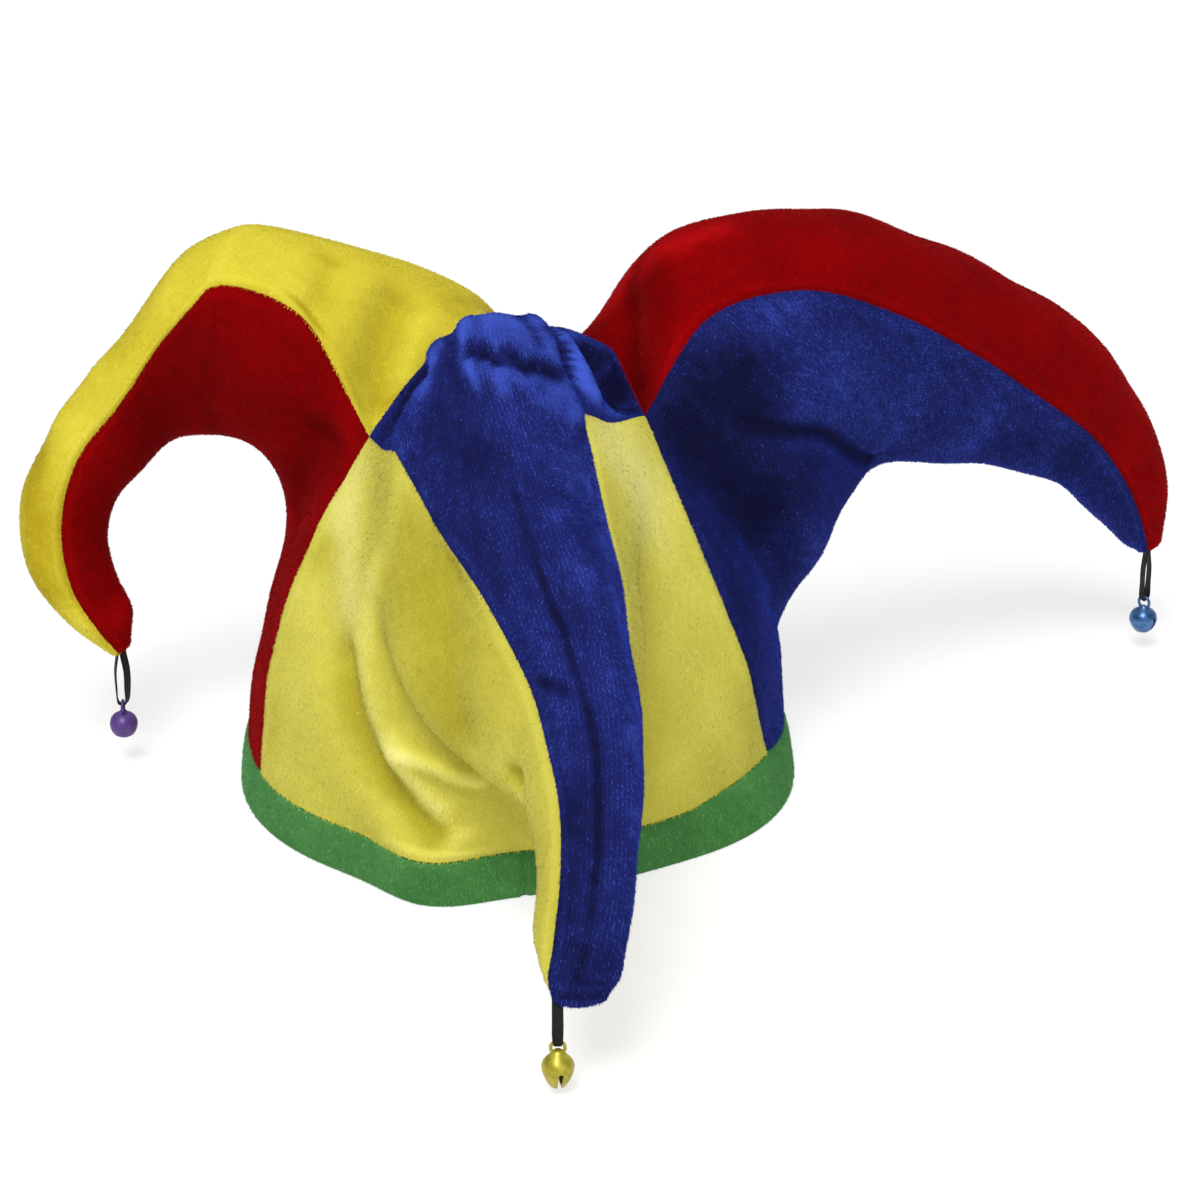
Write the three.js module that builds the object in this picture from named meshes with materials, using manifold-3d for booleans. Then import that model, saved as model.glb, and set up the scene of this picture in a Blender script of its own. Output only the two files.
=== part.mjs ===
// A soft clown hat of plush: a crown of three panels on a hemmed band, drawn out into three hollow
// horns, each with a strip of another colour over its ridge and a jingle bell on a ribbon loop at
// its tip. Millimetres, +Z up, the hat resting on the hem of its band.
import * as THREE from 'three';
import { mergeVertices } from 'three/addons/utils/BufferGeometryUtils.js';
import Module from 'manifold-3d';

const wasm = await Module();
wasm.setup();

// Sizes

const CLOTH = 2.0;            // thickness of a plush wall
const TIP_CLOTH = 1.1;        // thickness at a horn's tip, where the seam allowances are trimmed
const SEAM_GAP = 0.22;        // each panel stands this far back from a seam
const BAND_HEIGHT = 17.0;
const BAND_THICKNESS = 3.0;   // the hem is folded double
const BAND_PROUD = 0.6;       // the band stands this far outside the crown
const BAND_GAP = 0.35;        // between the band's top and the crown's lower edge
const BAND_STEPS = 72;
const RIM_RADIUS = 88.0;
const RIM_OVAL = 4.0;         // the rim is this much wider to the sides
const TOP = new THREE.Vector3(-2, 4, 155);   // where the three strips meet
const TOP_HOLE = 0.03;        // share of a strip's first span left open where the points meet
const SEAM_CURVE = 2.2;       // how late a side seam of the crown leans in
const TOP_ARCH = 50;          // wrap in degrees of the strips over the crown's top
const CHEEK = 0.7;            // below 1, the crown swells out early towards a horn's root
const ROOT_ROW = 3;           // the key row at the root of a horn

// The rim isn't round: each row pushes it in or out about one azimuth (degrees), at the hem and at
// the band's top.
const RIM_FOLDS = [
  { azimuth: 253, hem: 9.5, top: 11.5, spread: 9 },
  { azimuth: 306, hem: -6.5, top: -6, spread: 18 },
  { azimuth: 340, hem: 0, top: -8, spread: 17 },
  { azimuth: 190, hem: 0, top: -2.5, spread: 14 },
  { azimuth: 90, hem: 6, top: 5, spread: 45 },
];

// The crown's three side seams rise from the band to the junctions where two strips meet.
const SIDE_SEAMS = {
  frontLeft: { rimAzimuth: 199, azimuth: 210.4, radius: 53.2, height: 136.0 },
  frontRight: { rimAzimuth: 350, azimuth: 327.2, radius: 49.8, height: 143.6 },
  back: { rimAzimuth: 95, azimuth: 92, radius: 52, height: 140.0 },
};

// A table written as rows of numbers under named columns.
function table(columns, rows) {
  return rows.map((row) => Object.fromEntries(columns.map((name, i) => [name, row[i]])));
}

// Stations along a horn: the ridge and the keel as reach from the hat's axis and height, the turn
// of each from the horn's azimuth, the half width, how much fuller the section is towards its ridge
// (towards its keel if negative), and the angles above level of the two seams.
const STATION = [
  'ridge', 'ridgeZ', 'keel', 'keelZ', 'ridgeTurn', 'keelTurn', 'halfWidth', 'full', 'seamA', 'seamB',
];

// wall is the middle of the crown's panel on its way up from the band to the crotch of the horn.
const HORNS = {
  front: {
    azimuth: 274,
    seams: ['frontLeft', 'frontRight'],
    wall: table(['reach', 'height'], [[88, 28], [92, 36], [99, 45]]),
    ridgeStart: { reach: 30, azimuth: 269, height: 174 },
    stations: table(STATION, [
      [47, 185, 105, 48, -7, -3, 40, -0.4, 24, 24],
      [81, 156, 114, 51, -4.5, -2, 41, -0.4, 34, 30],
      [111, 134, 124, 54, 2.2, 0, 29, -0.2, 36, 33],
      [140, 112, 136, 55, 5.2, 1, 18.5, 0.1, 34, 24],
      [167, 93, 150, 51, 5.2, 0.5, 14.5, 0.25, 34, 24],
      [189, 71, 168, 43, 4.5, 0.2, 13, 0.25, 38, 24],
      [202, 51, 184, 38, 3.7, 0.5, 12.5, 0.25, 38, 20],
      [207, 37, 196, 34, 2.6, 1.6, 10, 0.25, 20, 10],
      [206, 31, 199.5, 31.5, 0.3, 0.3, 4.6, 0.25, 10, 10],
    ]),
  },
  left: {
    azimuth: 167,
    seams: ['back', 'frontLeft'],
    wall: table(['reach', 'height'], [[86, 46], [81, 72], [78.5, 95]]),
    ridgeStart: { reach: 32, azimuth: 156, height: 170 },
    stations: table(STATION, [
      [60, 184.5, 84, 108.5, 0, 0, 34, 0.1, 35, 35],
      [88, 189, 101, 117, 0, 0, 26, 0.25, 45, 45],
      [110, 180, 117, 113, 1, 1, 22, 0.25, 42, 42],
      [128, 155, 125, 105, 3, 3, 20, 0.25, 35, 35],
      [149.5, 127, 134, 97, 5, 5, 17, 0.25, 25, 25],
      [165, 99, 138, 82, 6, 6, 15, 0.25, 20, 20],
      [164, 74, 134.5, 67.5, 7.5, 7.5, 14, 0.25, 20, 20],
      [153, 56, 130, 58, 8.5, 8.5, 11, 0.25, 20, 20],
      [138, 43, 130.5, 47.5, 9, 9, 4.6, 0.25, 10, 10],
    ]),
  },
  right: {
    azimuth: 20,
    seams: ['frontRight', 'back'],
    wall: table(['reach', 'height'], [[90, 34], [91, 43], [97, 55]]),
    ridgeStart: { reach: 36, azimuth: 25, height: 149 },
    stations: table(STATION, [
      [58, 189, 104, 69, -3, -3, 38, 0, 36, 40],
      [84, 192, 116, 86, -1, -1, 28, 0.25, 44, 45],
      [115, 187, 132, 95, 1, 1, 25, 0.25, 32, 50],
      [150, 171, 162, 89, 3, 3, 24, 0.25, 14, 56],
      [182, 152, 185, 82, 4, 4, 22, 0.25, -4, 62],
      [211, 131, 205, 72, 4, 4, 19, 0.25, -16, 66],
      [234, 101, 223, 56, 4.3, 4.3, 15, 0.25, -20, 62],
      [247, 72, 235, 43, 4.3, 4.3, 11, 0.25, -18, 50],
      [248, 45.5, 239, 40.5, 4, 4, 4.6, 0.25, -5, 30],
    ]),
  },
};

// Folds and dents of the cloth. A path runs through points given as row (0 at the band or the top,
// 3 at the horn's root, one more at each station) and place across the panel (-1 to 1 from seam to
// seam, counterclockwise seen from outside). width is the fold's half width, rise its height,
// negative for a dent.
const FOLDS = {
  lower_front: [
    { path: [[4, -0.78], [2.4, -0.66], [1.9, -0.5], [1.9, -0.38]], width: 11, rise: 2 },
    { path: [[1.9, -0.38], [2.4, -0.31], [3, -0.21], [3.3, -0.1]], width: 10, rise: 3 },
    { path: [[1.9, -0.38], [1.5, -0.29], [0.7, -0.21]], width: 10, rise: 3 },
    { path: [[1.8, -0.52], [1.3, -0.4], [0.8, -0.32]], width: 11, rise: -3 },
  ],
  upper_front: [
    { path: [[5.3, 0.15], [6.3, 0.18], [7.2, 0.15], [9, 0.06], [10.6, 0.1]], width: 4.5, rise: -3 },
    { path: [[3.5, -0.66], [3.9, -0.66]], width: 11, rise: -8 },
    { path: [[4.2, 0.1], [4.25, -0.25]], width: 7, rise: -3.5 },
  ],
  upper_left: [
    { path: [[7.5, -0.1], [8, -0.1]], width: 9, rise: 2 },
  ],
  lower_left: [
    { path: [[2.7, 0.36], [3, 0.54], [3.1, 0.75]], width: 8, rise: -3 },
  ],
  lower_right: [
    { path: [[4, -0.72], [4.6, -0.56], [5.8, -0.3]], width: 9, rise: -3.5 },
  ],
};
const FOLD_SAMPLES = 8;       // points taken along each leg of a fold's path
const FOLD_MARGIN = 9;        // a fold fades out over this distance from a seam

// Ribbon loops and bells. Each loop hangs out of a horn's tip: drop is the height of its bottom, the
// bell's pivot, above the floor, face the azimuth that the ribbon's flat side looks along, spread
// half the distance between its two legs at the top, tuck how far they reach up into the horn, and
// slot the turn of the bell's slot from the plane of the loop.
const HANGERS = {
  left: { drop: 22.6, face: 180, spread: 1.3, tuck: 3.0, slot: 0 },
  front: { drop: 16.0, face: 270, spread: 0.75, tuck: 1.2, slot: 12 },
  right: { drop: 19.8, face: 230, spread: 2.1, tuck: 3.0, slot: 90 },
};
const RIBBON_WIDTH = 3.4;
const RIBBON_NECK = 0.7;      // the ribbon is bunched to this width where it passes through the ring
const RIBBON_THICKNESS = 0.5;
const RIBBON_BELLY = 1.9;     // half the distance between the loop's two legs half way down
const RIBBON_STEPS = 20;
const RING_HOLE = 1.6;
const RING_WIRE = 0.45;
const RING_HANG = 0.85;       // the ring's centre hangs this far below the ribbon it rides on
const BELL_TOP = RING_HANG + RING_HOLE + 0.55;   // the bell's crown below the pivot
const BELL_HEIGHT = 9.1;
const BELL_WALL = 0.7;
const BELL_STEPS = 14;
const SLOT_WIDTH = 1.2;
const SLOT_HEIGHT = 3.9;
const SLOT_END = 0.85;        // radius of the round hole at each end of the slot

// Outline of a bell, wide at the shoulder and narrow below.
const BELL_PROFILE = table(['radius', 'below'], [
  [1.4, 0.0], [3.9, 0.9], [4.9, 3.2], [4.6, 5.6], [3.0, 8.0], [1.2, BELL_HEIGHT],
]);

const COLOURS = {
  yellow: 0xd9cc45, red: 0x9c0810, blue: 0x2230a0, green: 0x328c41, black: 0x141416,
  purple: 0x5f3c8c, gold: 0xb9aa28, sky: 0x4682be,
};

// Helpers

const rad = THREE.MathUtils.degToRad;

function polar(radius, azimuth, height) {
  return new THREE.Vector3(radius * Math.cos(rad(azimuth)), radius * Math.sin(rad(azimuth)), height);
}

function mix(a, b, t) {
  return a + (b - a) * t;
}

function nearest(azimuth, to) {
  return to + THREE.MathUtils.euclideanModulo(azimuth - to + 180, 360) - 180;
}

function rimRadius(azimuth, level) {
  let radius = RIM_RADIUS + RIM_OVAL * Math.cos(rad(2 * azimuth));
  for (const fold of RIM_FOLDS) {
    const away = nearest(azimuth, fold.azimuth) - fold.azimuth;
    radius += fold[level] * Math.exp(-((away / fold.spread) ** 2) / 2);
  }
  return radius;
}

// Azimuth and height of a crown side seam, and how far it leans in from the rim, q running from the
// band (0) to the junction (1).
function sideSeam(name, q, near) {
  const seam = SIDE_SEAMS[name];
  const azimuth = mix(nearest(seam.rimAzimuth, near), nearest(seam.azimuth, near), q);
  const radius = mix(rimRadius(seam.rimAzimuth, 'top'), seam.radius, q ** SEAM_CURVE);
  return {
    azimuth,
    lean: radius - rimRadius(azimuth, 'top'),
    height: mix(BAND_HEIGHT + BAND_GAP, seam.height, q),
  };
}

function junction(name) {
  const seam = SIDE_SEAMS[name];
  return polar(seam.radius, seam.azimuth, seam.height);
}

// One row of a crown panel, from side seam to side seam. At the band it follows the rim, and at
// q = 1 its middle has come out to the crotch under the horn.
function crownRow(horn, step, columns) {
  const q = step / horn.wall.length;
  const rimMiddle = rimRadius(horn.azimuth, 'top');
  const middle = step === 0 ? { reach: rimMiddle, height: BAND_HEIGHT + BAND_GAP } : horn.wall[step - 1];
  const start = sideSeam(horn.seams[0], q, horn.azimuth - 60);
  const end = sideSeam(horn.seams[1], q, horn.azimuth + 60);
  const centring = horn.azimuth - (start.azimuth + end.azimuth) / 2;
  return columns.map((c) => {
    const t = (c + 1) / 2;
    const bulge = (1 + Math.cos(Math.PI * c)) / 2;
    const azimuth = mix(start.azimuth, end.azimuth, t) + centring * bulge * q;
    const lean = mix(start.lean, end.lean, t);
    const radius = rimRadius(azimuth, 'top') + mix(lean, middle.reach - rimMiddle, bulge ** CHEEK);
    const height = mix(mix(start.height, end.height, t), middle.height, bulge);
    return polar(radius, azimuth, height);
  });
}

// Part of a horn's section: 90 degrees is the ridge, 270 the keel.
function sectionRow(horn, station, from, to, columns) {
  const ridge = polar(station.ridge, horn.azimuth + station.ridgeTurn, station.ridgeZ);
  const keel = polar(station.keel, horn.azimuth + station.keelTurn, station.keelZ);
  const side = polar(1, horn.azimuth + station.ridgeTurn + 90, 0);
  const centre = ridge.clone().add(keel).multiplyScalar(0.5);
  const depth = ridge.clone().sub(keel).multiplyScalar(0.5);
  return columns.map((c) => {
    const angle = rad(mix(from, to, (c + 1) / 2));
    const width = station.halfWidth * Math.cos(angle) * (1 + station.full * Math.sin(angle));
    return centre.clone().addScaledVector(side, width).addScaledVector(depth, Math.sin(angle));
  });
}

// An arc of an ellipse from a through m to b.
function archRow(a, m, b, columns) {
  const wrap = rad(TOP_ARCH);
  const chord = b.clone().sub(a).divideScalar(2 * Math.sin(wrap));
  const base = a.clone().add(b).multiplyScalar(0.5);
  const rise = m.clone().sub(base).divideScalar(1 - Math.cos(wrap));
  const centre = m.clone().sub(rise);
  return columns.map((c) => centre.clone()
    .addScaledVector(chord, Math.sin(wrap * c))
    .addScaledVector(rise, Math.cos(wrap * c)));
}

function spacing(count) {
  return Array.from({ length: count }, (_, i) => (2 * i) / (count - 1) - 1);
}

function lowerKeys(horn, columns) {
  const crown = [0, 1, 2, 3].map((step) => crownRow(horn, step, columns));
  const along = horn.stations.map((s) => sectionRow(horn, s, 180 - s.seamA, 360 + s.seamB, columns));
  return [...crown, ...along];
}

function upperKeys(horn, columns) {
  const a = junction(horn.seams[0]);
  const b = junction(horn.seams[1]);
  const m = polar(horn.ridgeStart.reach, horn.ridgeStart.azimuth, horn.ridgeStart.height);
  const fan = [TOP_HOLE, 1 / 3, 2 / 3, 1].map((q) => archRow(
    TOP.clone().lerp(b, q), TOP.clone().lerp(m, q), TOP.clone().lerp(a, q), columns));
  const along = horn.stations.map((s) => sectionRow(horn, s, s.seamB, 180 - s.seamA, columns));
  return [...fan, ...along];
}

// The way a panel runs on at a key row. At the horn's root the seams turn a corner, at the junction,
// and only the middle of the panel runs through smoothly.
function keySlope(keys, row, column, columns, ahead) {
  const slope = (from, to) => keys[to][column].clone().sub(keys[from][column]).divideScalar(to - from);
  const through = slope(Math.max(row - 1, 0), Math.min(row + 1, keys.length - 1));
  if (row !== ROOT_ROW) return through;
  const corner = ahead ? slope(row, row + 1) : slope(row - 1, row);
  return corner.lerp(through, 1 - columns[column] ** 4);
}

// Rows of a smooth surface through the key rows, perSpan of them from each key row to the next.
function smoothRows(keys, perSpan, columns) {
  const last = keys.length - 1;
  const rows = [];
  for (let step = 0; step <= last * perSpan; step += 1) {
    const i = Math.min(Math.floor(step / perSpan), last - 1);
    const t = step / perSpan - i;
    rows.push(columns.map((_, c) => new THREE.Vector3()
      .addScaledVector(keys[i][c], 1 - 3 * t * t + 2 * t ** 3)
      .addScaledVector(keys[i + 1][c], 3 * t * t - 2 * t ** 3)
      .addScaledVector(keySlope(keys, i, c, columns, true), t - 2 * t * t + t ** 3)
      .addScaledVector(keySlope(keys, i + 1, c, columns, false), t ** 3 - t * t)));
  }
  return rows;
}

// Outward normals of a grid of rows.
function gridNormals(rows) {
  const lastRow = rows.length - 1;
  return rows.map((row, r) => row.map((_, c) => {
    const along = rows[Math.min(r + 1, lastRow)][c].clone().sub(rows[Math.max(r - 1, 0)][c]);
    const across = row[Math.min(c + 1, row.length - 1)].clone().sub(row[Math.max(c - 1, 0)]);
    return across.cross(along).normalize();
  }));
}

// The point of a grid at a key row and a place across.
function gridPoint(rows, perSpan, keyRow, across) {
  const r = keyRow * perSpan;
  const c = ((across + 1) / 2) * (rows[0].length - 1);
  const r0 = Math.min(Math.floor(r), rows.length - 2);
  const c0 = Math.min(Math.floor(c), rows[0].length - 2);
  const near = rows[r0][c0].clone().lerp(rows[r0][c0 + 1], c - c0);
  const far = rows[r0 + 1][c0].clone().lerp(rows[r0 + 1][c0 + 1], c - c0);
  return near.lerp(far, r - r0);
}

function foldPath(rows, perSpan, path) {
  const points = [];
  for (let leg = 0; leg + 1 < path.length; leg += 1) {
    for (let k = 0; k <= FOLD_SAMPLES; k += 1) {
      const t = k / FOLD_SAMPLES;
      points.push(gridPoint(rows, perSpan,
        mix(path[leg][0], path[leg + 1][0], t), mix(path[leg][1], path[leg + 1][1], t)));
    }
  }
  return points;
}

function addFolds(rows, perSpan, folds) {
  const normals = gridNormals(rows);
  const paths = folds.map((fold) => foldPath(rows, perSpan, fold.path));
  return rows.map((row, r) => row.map((point, c) => {
    const toSeam = Math.min(point.distanceTo(row[0]), point.distanceTo(row[row.length - 1]));
    const fade = Math.min(1, toSeam / FOLD_MARGIN);
    const ends = Math.min(1, r / 3);
    let rise = 0;
    folds.forEach((fold, k) => {
      const away = Math.min(...paths[k].map((p) => p.distanceTo(point)));
      rise += fold.rise * Math.exp(-((away / fold.width) ** 2)) * fade * fade * (3 - 2 * fade) * ends;
    });
    return point.clone().addScaledVector(normals[r][c], rise);
  }));
}

// A closed solid between an outer and an inner grid of the same size.
function wallGeometry(outer, inner, wrap) {
  const height = outer.length;
  const width = outer[0].length;
  const positions = [...outer.flat(), ...inner.flat()].flatMap((p) => [p.x, p.y, p.z]);
  const out = (r, c) => r * width + (c % width);
  const inn = (r, c) => height * width + r * width + (c % width);
  const index = [];
  const quad = (a, b, c, d) => index.push(a, b, c, a, c, d);
  const spans = wrap ? width : width - 1;
  for (let r = 0; r + 1 < height; r += 1) {
    for (let c = 0; c < spans; c += 1) {
      quad(out(r, c), out(r, c + 1), out(r + 1, c + 1), out(r + 1, c));
      quad(inn(r, c), inn(r + 1, c), inn(r + 1, c + 1), inn(r, c + 1));
    }
    if (!wrap) {
      quad(out(r, 0), out(r + 1, 0), inn(r + 1, 0), inn(r, 0));
      quad(out(r, spans), inn(r, spans), inn(r + 1, spans), out(r + 1, spans));
    }
  }
  const top = height - 1;
  for (let c = 0; c < spans; c += 1) {
    quad(out(0, c), inn(0, c), inn(0, c + 1), out(0, c + 1));
    quad(out(top, c), out(top, c + 1), inn(top, c + 1), inn(top, c));
  }
  const geometry = new THREE.BufferGeometry();
  geometry.setAttribute('position', new THREE.Float32BufferAttribute(positions, 3));
  geometry.setIndex(index);
  return geometry;
}

// Panels

const LOWER = { columns: spacing(19), perSpan: 2 };
const UPPER = { columns: spacing(11), perSpan: 2 };

const panels = {};
for (const [name, horn] of Object.entries(HORNS)) {
  for (const [part, grid, keys] of [['lower', LOWER, lowerKeys], ['upper', UPPER, upperKeys]]) {
    const rows = smoothRows(keys(horn, grid.columns), grid.perSpan, grid.columns);
    panels[`${part}_${name}`] = addFolds(rows, grid.perSpan, FOLDS[`${part}_${name}`] ?? []);
  }
}

// Panels that meet at a seam lean their walls along one shared direction there.
const shared = new Map();
const place = (p) => `${p.x.toFixed(2)},${p.y.toFixed(2)},${p.z.toFixed(2)}`;
const panelNormals = {};
for (const [name, rows] of Object.entries(panels)) {
  panelNormals[name] = gridNormals(rows);
  rows.forEach((row, r) => row.forEach((point, c) => {
    const sum = shared.get(place(point)) ?? new THREE.Vector3();
    shared.set(place(point), sum.add(panelNormals[name][r][c]));
  }));
}

function panelGeometry(name) {
  const rows = panels[name];
  const tipStart = rows.length - 5;
  const inset = (row, c) => {
    const last = row.length - 1;
    if (c !== 0 && c !== last) return row[c].clone();
    const inward = row[c === 0 ? 1 : last - 1].clone().sub(row[c]).normalize();
    return row[c].clone().addScaledVector(inward, SEAM_GAP);
  };
  const outer = rows.map((row) => row.map((_, c) => inset(row, c)));
  const inner = rows.map((row, r) => {
    const thickness = mix(CLOTH, TIP_CLOTH, Math.max(0, (r - tipStart) / 4));
    const offset = row.map((point) => {
      const normal = shared.get(place(point)).clone();
      if (r === 0 && name.startsWith('lower')) normal.setZ(0);   // the edge on the band is cut level
      return point.clone().addScaledVector(normal.normalize(), -thickness);
    });
    return offset.map((_, c) => inset(offset, c));
  });
  return wallGeometry(outer, inner, false);
}

function bandGeometry() {
  const ring = (level, height, outward) => Array.from({ length: BAND_STEPS }, (_, i) => {
    const azimuth = (360 * i) / BAND_STEPS;
    return polar(rimRadius(azimuth, level) + outward, azimuth, height);
  });
  const rings = (outward) => [ring('hem', 0, outward), ring('top', BAND_HEIGHT, outward)];
  return wallGeometry(rings(BAND_PROUD), rings(BAND_PROUD - BAND_THICKNESS), true);
}

// Ribbons and bells

// A ribbon loop in its own frame: the loop lies in XZ with its bottom at the origin, top is how high
// the legs reach. The ribbon's width runs along Y and narrows at the bottom.
function ribbonGeometry(spread, top) {
  const legs = table(['across', 'up', 'width'], [
    [spread, top, RIBBON_WIDTH],
    [spread, top * 0.8, RIBBON_WIDTH],
    [RIBBON_BELLY, top * 0.5, RIBBON_WIDTH],
    [RIBBON_BELLY, top * 0.26, RIBBON_WIDTH * 0.7],
    [1.3, 0.75, RIBBON_NECK * 1.2],
  ]);
  const bottom = { across: 0, up: 0, width: RIBBON_NECK };
  const mirrored = legs.map((p) => ({ ...p, across: -p.across })).reverse();
  const route = [...legs, bottom, ...mirrored];
  const curve = new THREE.CatmullRomCurve3(route.map((p) => new THREE.Vector3(p.across, p.width, p.up)));
  const rows = curve.getPoints(RIBBON_STEPS).map((p, i) => {
    const ahead = curve.getTangent(i / RIBBON_STEPS);
    const side = new THREE.Vector3(ahead.z, 0, -ahead.x).normalize();
    return { centre: new THREE.Vector3(p.x, 0, p.z), half: p.y / 2, side };
  });
  const face = (sign) => rows.map(({ centre, half, side }) => [-half, half].map((y) => centre.clone()
    .addScaledVector(side, (sign * RIBBON_THICKNESS) / 2).setY(y)));
  return wallGeometry(face(1), face(-1), false);
}

function asSolid(geometry) {
  const plain = geometry.clone();
  plain.deleteAttribute('normal');
  plain.deleteAttribute('uv');
  const merged = mergeVertices(plain, 1e-4);
  return new wasm.Manifold(new wasm.Mesh({
    numProp: 3,
    vertProperties: new Float32Array(merged.attributes.position.array),
    triVerts: new Uint32Array(merged.index.array),
  }));
}

function fromSolid(solid) {
  const mesh = solid.getMesh();
  const geometry = new THREE.BufferGeometry();
  geometry.setAttribute('position', new THREE.Float32BufferAttribute(mesh.vertProperties, 3));
  geometry.setIndex(Array.from(mesh.triVerts));
  return geometry;
}

// A jingle bell in its own frame: its pivot on the ribbon at the origin, its ring round the X axis
// and the slot in its underside turned from X.
function bellGeometry(slotTurn) {
  const floor = -BELL_TOP - BELL_HEIGHT;
  const middle = -BELL_TOP - BELL_HEIGHT / 2;
  const turned = (inset) => {
    const closer = 1 - inset / (BELL_HEIGHT / 2);
    const side = BELL_PROFILE.map((p) => new THREE.Vector2(
      Math.max(p.radius - inset, 0.4), mix(middle, -BELL_TOP - p.below, closer)));
    const outline = [new THREE.Vector2(0, side[0].y), ...side, new THREE.Vector2(0, side.at(-1).y)];
    return asSolid(new THREE.LatheGeometry(outline.reverse(), BELL_STEPS).rotateX(Math.PI / 2));
  };
  const ring = asSolid(new THREE.TorusGeometry(RING_HOLE + RING_WIRE, RING_WIRE, 6, 14)
    .rotateY(Math.PI / 2).translate(0, 0, -RING_HANG));
  const slot = asSolid(new THREE.BoxGeometry(20, SLOT_WIDTH, 2 * SLOT_HEIGHT)
    .rotateZ(rad(slotTurn)).translate(0, 0, floor));
  const ends = asSolid(new THREE.CylinderGeometry(SLOT_END, SLOT_END, 20, 10)
    .rotateZ(Math.PI / 2 + rad(slotTurn)).translate(0, 0, floor + SLOT_HEIGHT));
  return fromSolid(turned(0).add(ring).subtract(turned(BELL_WALL)).subtract(slot).subtract(ends));
}

// The hat

function plush(colour) {
  return new THREE.MeshStandardMaterial({ color: colour, roughness: 0.95, metalness: 0 });
}

function satin(colour) {
  return new THREE.MeshStandardMaterial({ color: colour, roughness: 0.6, metalness: 0 });
}

function enamel(colour) {
  return new THREE.MeshStandardMaterial({ color: colour, roughness: 0.3, metalness: 0.9 });
}

function named(name, geometry, material) {
  const mesh = new THREE.Mesh(geometry, material);
  mesh.name = name;
  return mesh;
}

const PANEL_COLOURS = {
  lower_front: COLOURS.yellow, lower_left: COLOURS.red, lower_right: COLOURS.blue,
  upper_front: COLOURS.blue, upper_left: COLOURS.yellow, upper_right: COLOURS.red,
};
const BELL_COLOURS = { left: COLOURS.purple, front: COLOURS.gold, right: COLOURS.sky };

const pieces = new THREE.Group();
pieces.add(named('band', bandGeometry(), plush(COLOURS.green)));
for (const [name, colour] of Object.entries(PANEL_COLOURS)) {
  pieces.add(named(name, panelGeometry(name), plush(colour)));
}

for (const [name, hanger] of Object.entries(HANGERS)) {
  const horn = HORNS[name];
  const tip = horn.stations.at(-1);
  const tipZ = (tip.ridgeZ + tip.keelZ) / 2;
  const loop = new THREE.Group();
  loop.position.copy(polar((tip.ridge + tip.keel) / 2, horn.azimuth + tip.ridgeTurn, hanger.drop));
  loop.rotation.z = rad(hanger.face);
  const ribbon = ribbonGeometry(hanger.spread, tipZ + hanger.tuck - hanger.drop);
  loop.add(named(`ribbon_${name}`, ribbon, satin(COLOURS.black)));
  loop.add(named(`bell_${name}`, bellGeometry(hanger.slot), enamel(BELL_COLOURS[name])));
  pieces.add(loop);
}

// The sizes above are measured from the crown's axis. The hat's own origin is on the floor, in the
// middle of its extent.
const extent = new THREE.Box3().setFromObject(pieces, true);
const middle = extent.getCenter(new THREE.Vector3());
pieces.position.set(-middle.x, -middle.y, -extent.min.z);

const hat = new THREE.Group();
hat.add(pieces);

export default hat;
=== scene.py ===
"""Dresses the clown hat: plush panels with their folds and pile, a hemmed band, ribbon loops and jingle
bells, seen from the photograph's side on a pale floor."""
import math

import bpy
import numpy as np
from mathutils import Matrix, Vector


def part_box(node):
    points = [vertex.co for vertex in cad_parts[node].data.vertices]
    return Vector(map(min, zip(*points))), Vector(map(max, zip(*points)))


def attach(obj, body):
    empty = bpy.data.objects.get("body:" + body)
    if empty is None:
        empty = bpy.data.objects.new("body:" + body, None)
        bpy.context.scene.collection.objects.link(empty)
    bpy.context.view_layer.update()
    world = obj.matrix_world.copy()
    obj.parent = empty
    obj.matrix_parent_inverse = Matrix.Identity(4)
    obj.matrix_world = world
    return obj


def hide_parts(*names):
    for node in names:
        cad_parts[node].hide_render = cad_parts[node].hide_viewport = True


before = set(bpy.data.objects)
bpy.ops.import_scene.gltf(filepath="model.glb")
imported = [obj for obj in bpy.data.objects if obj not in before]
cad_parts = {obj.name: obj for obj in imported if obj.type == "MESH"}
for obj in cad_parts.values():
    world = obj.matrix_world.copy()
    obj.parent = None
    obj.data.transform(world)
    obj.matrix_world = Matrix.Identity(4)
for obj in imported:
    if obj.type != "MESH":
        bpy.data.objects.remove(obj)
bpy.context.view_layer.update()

# Sizes of the solids, in millimetres from the crown's axis

CLOTH = 2.0  # thickness of a plush wall
TIP_CLOTH = 1.1  # thickness at a horn's tip
BAND_HEIGHT = 17.0
BAND_PROUD = 0.6  # the band stands this far outside the crown
BAND_STEPS = 72  # sides of the band's solid
CROWN_EDGE = 17.35  # height of the crown's lower edge
RIM_RADIUS = 88.0
RIM_OVAL = 4.0  # the rim is this much wider to the sides
TOP = np.array([-2.0, 4.0, 155.0])  # where the three strips meet
SEAM_CURVE = 2.2  # how late a side seam of the crown leans in
SEAM_SIDE = 60  # about how many degrees a horn's side seams are from its azimuth
TOP_ARCH = 50  # wrap in degrees of the strips over the crown's top
PUFF_LATE = 1.8  # above 1, a top seam's puff lies nearer to the junction
CHEEK = 0.7  # below 1, the crown swells out early towards a horn's root
ROOT_ROW = 3  # the key row at the root of a horn
TOP_ROWS = (0.004, 0.38, 0.75, 1.0)  # the key rows from the crown's top to there


def table(columns, rows):
    """Rows of numbers under named columns."""
    return [dict(zip(columns, row)) for row in rows]


def named_table(columns, rows):
    """The same, of rows that have names."""
    return {name: dict(zip(columns, row)) for name, row in rows.items()}


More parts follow.
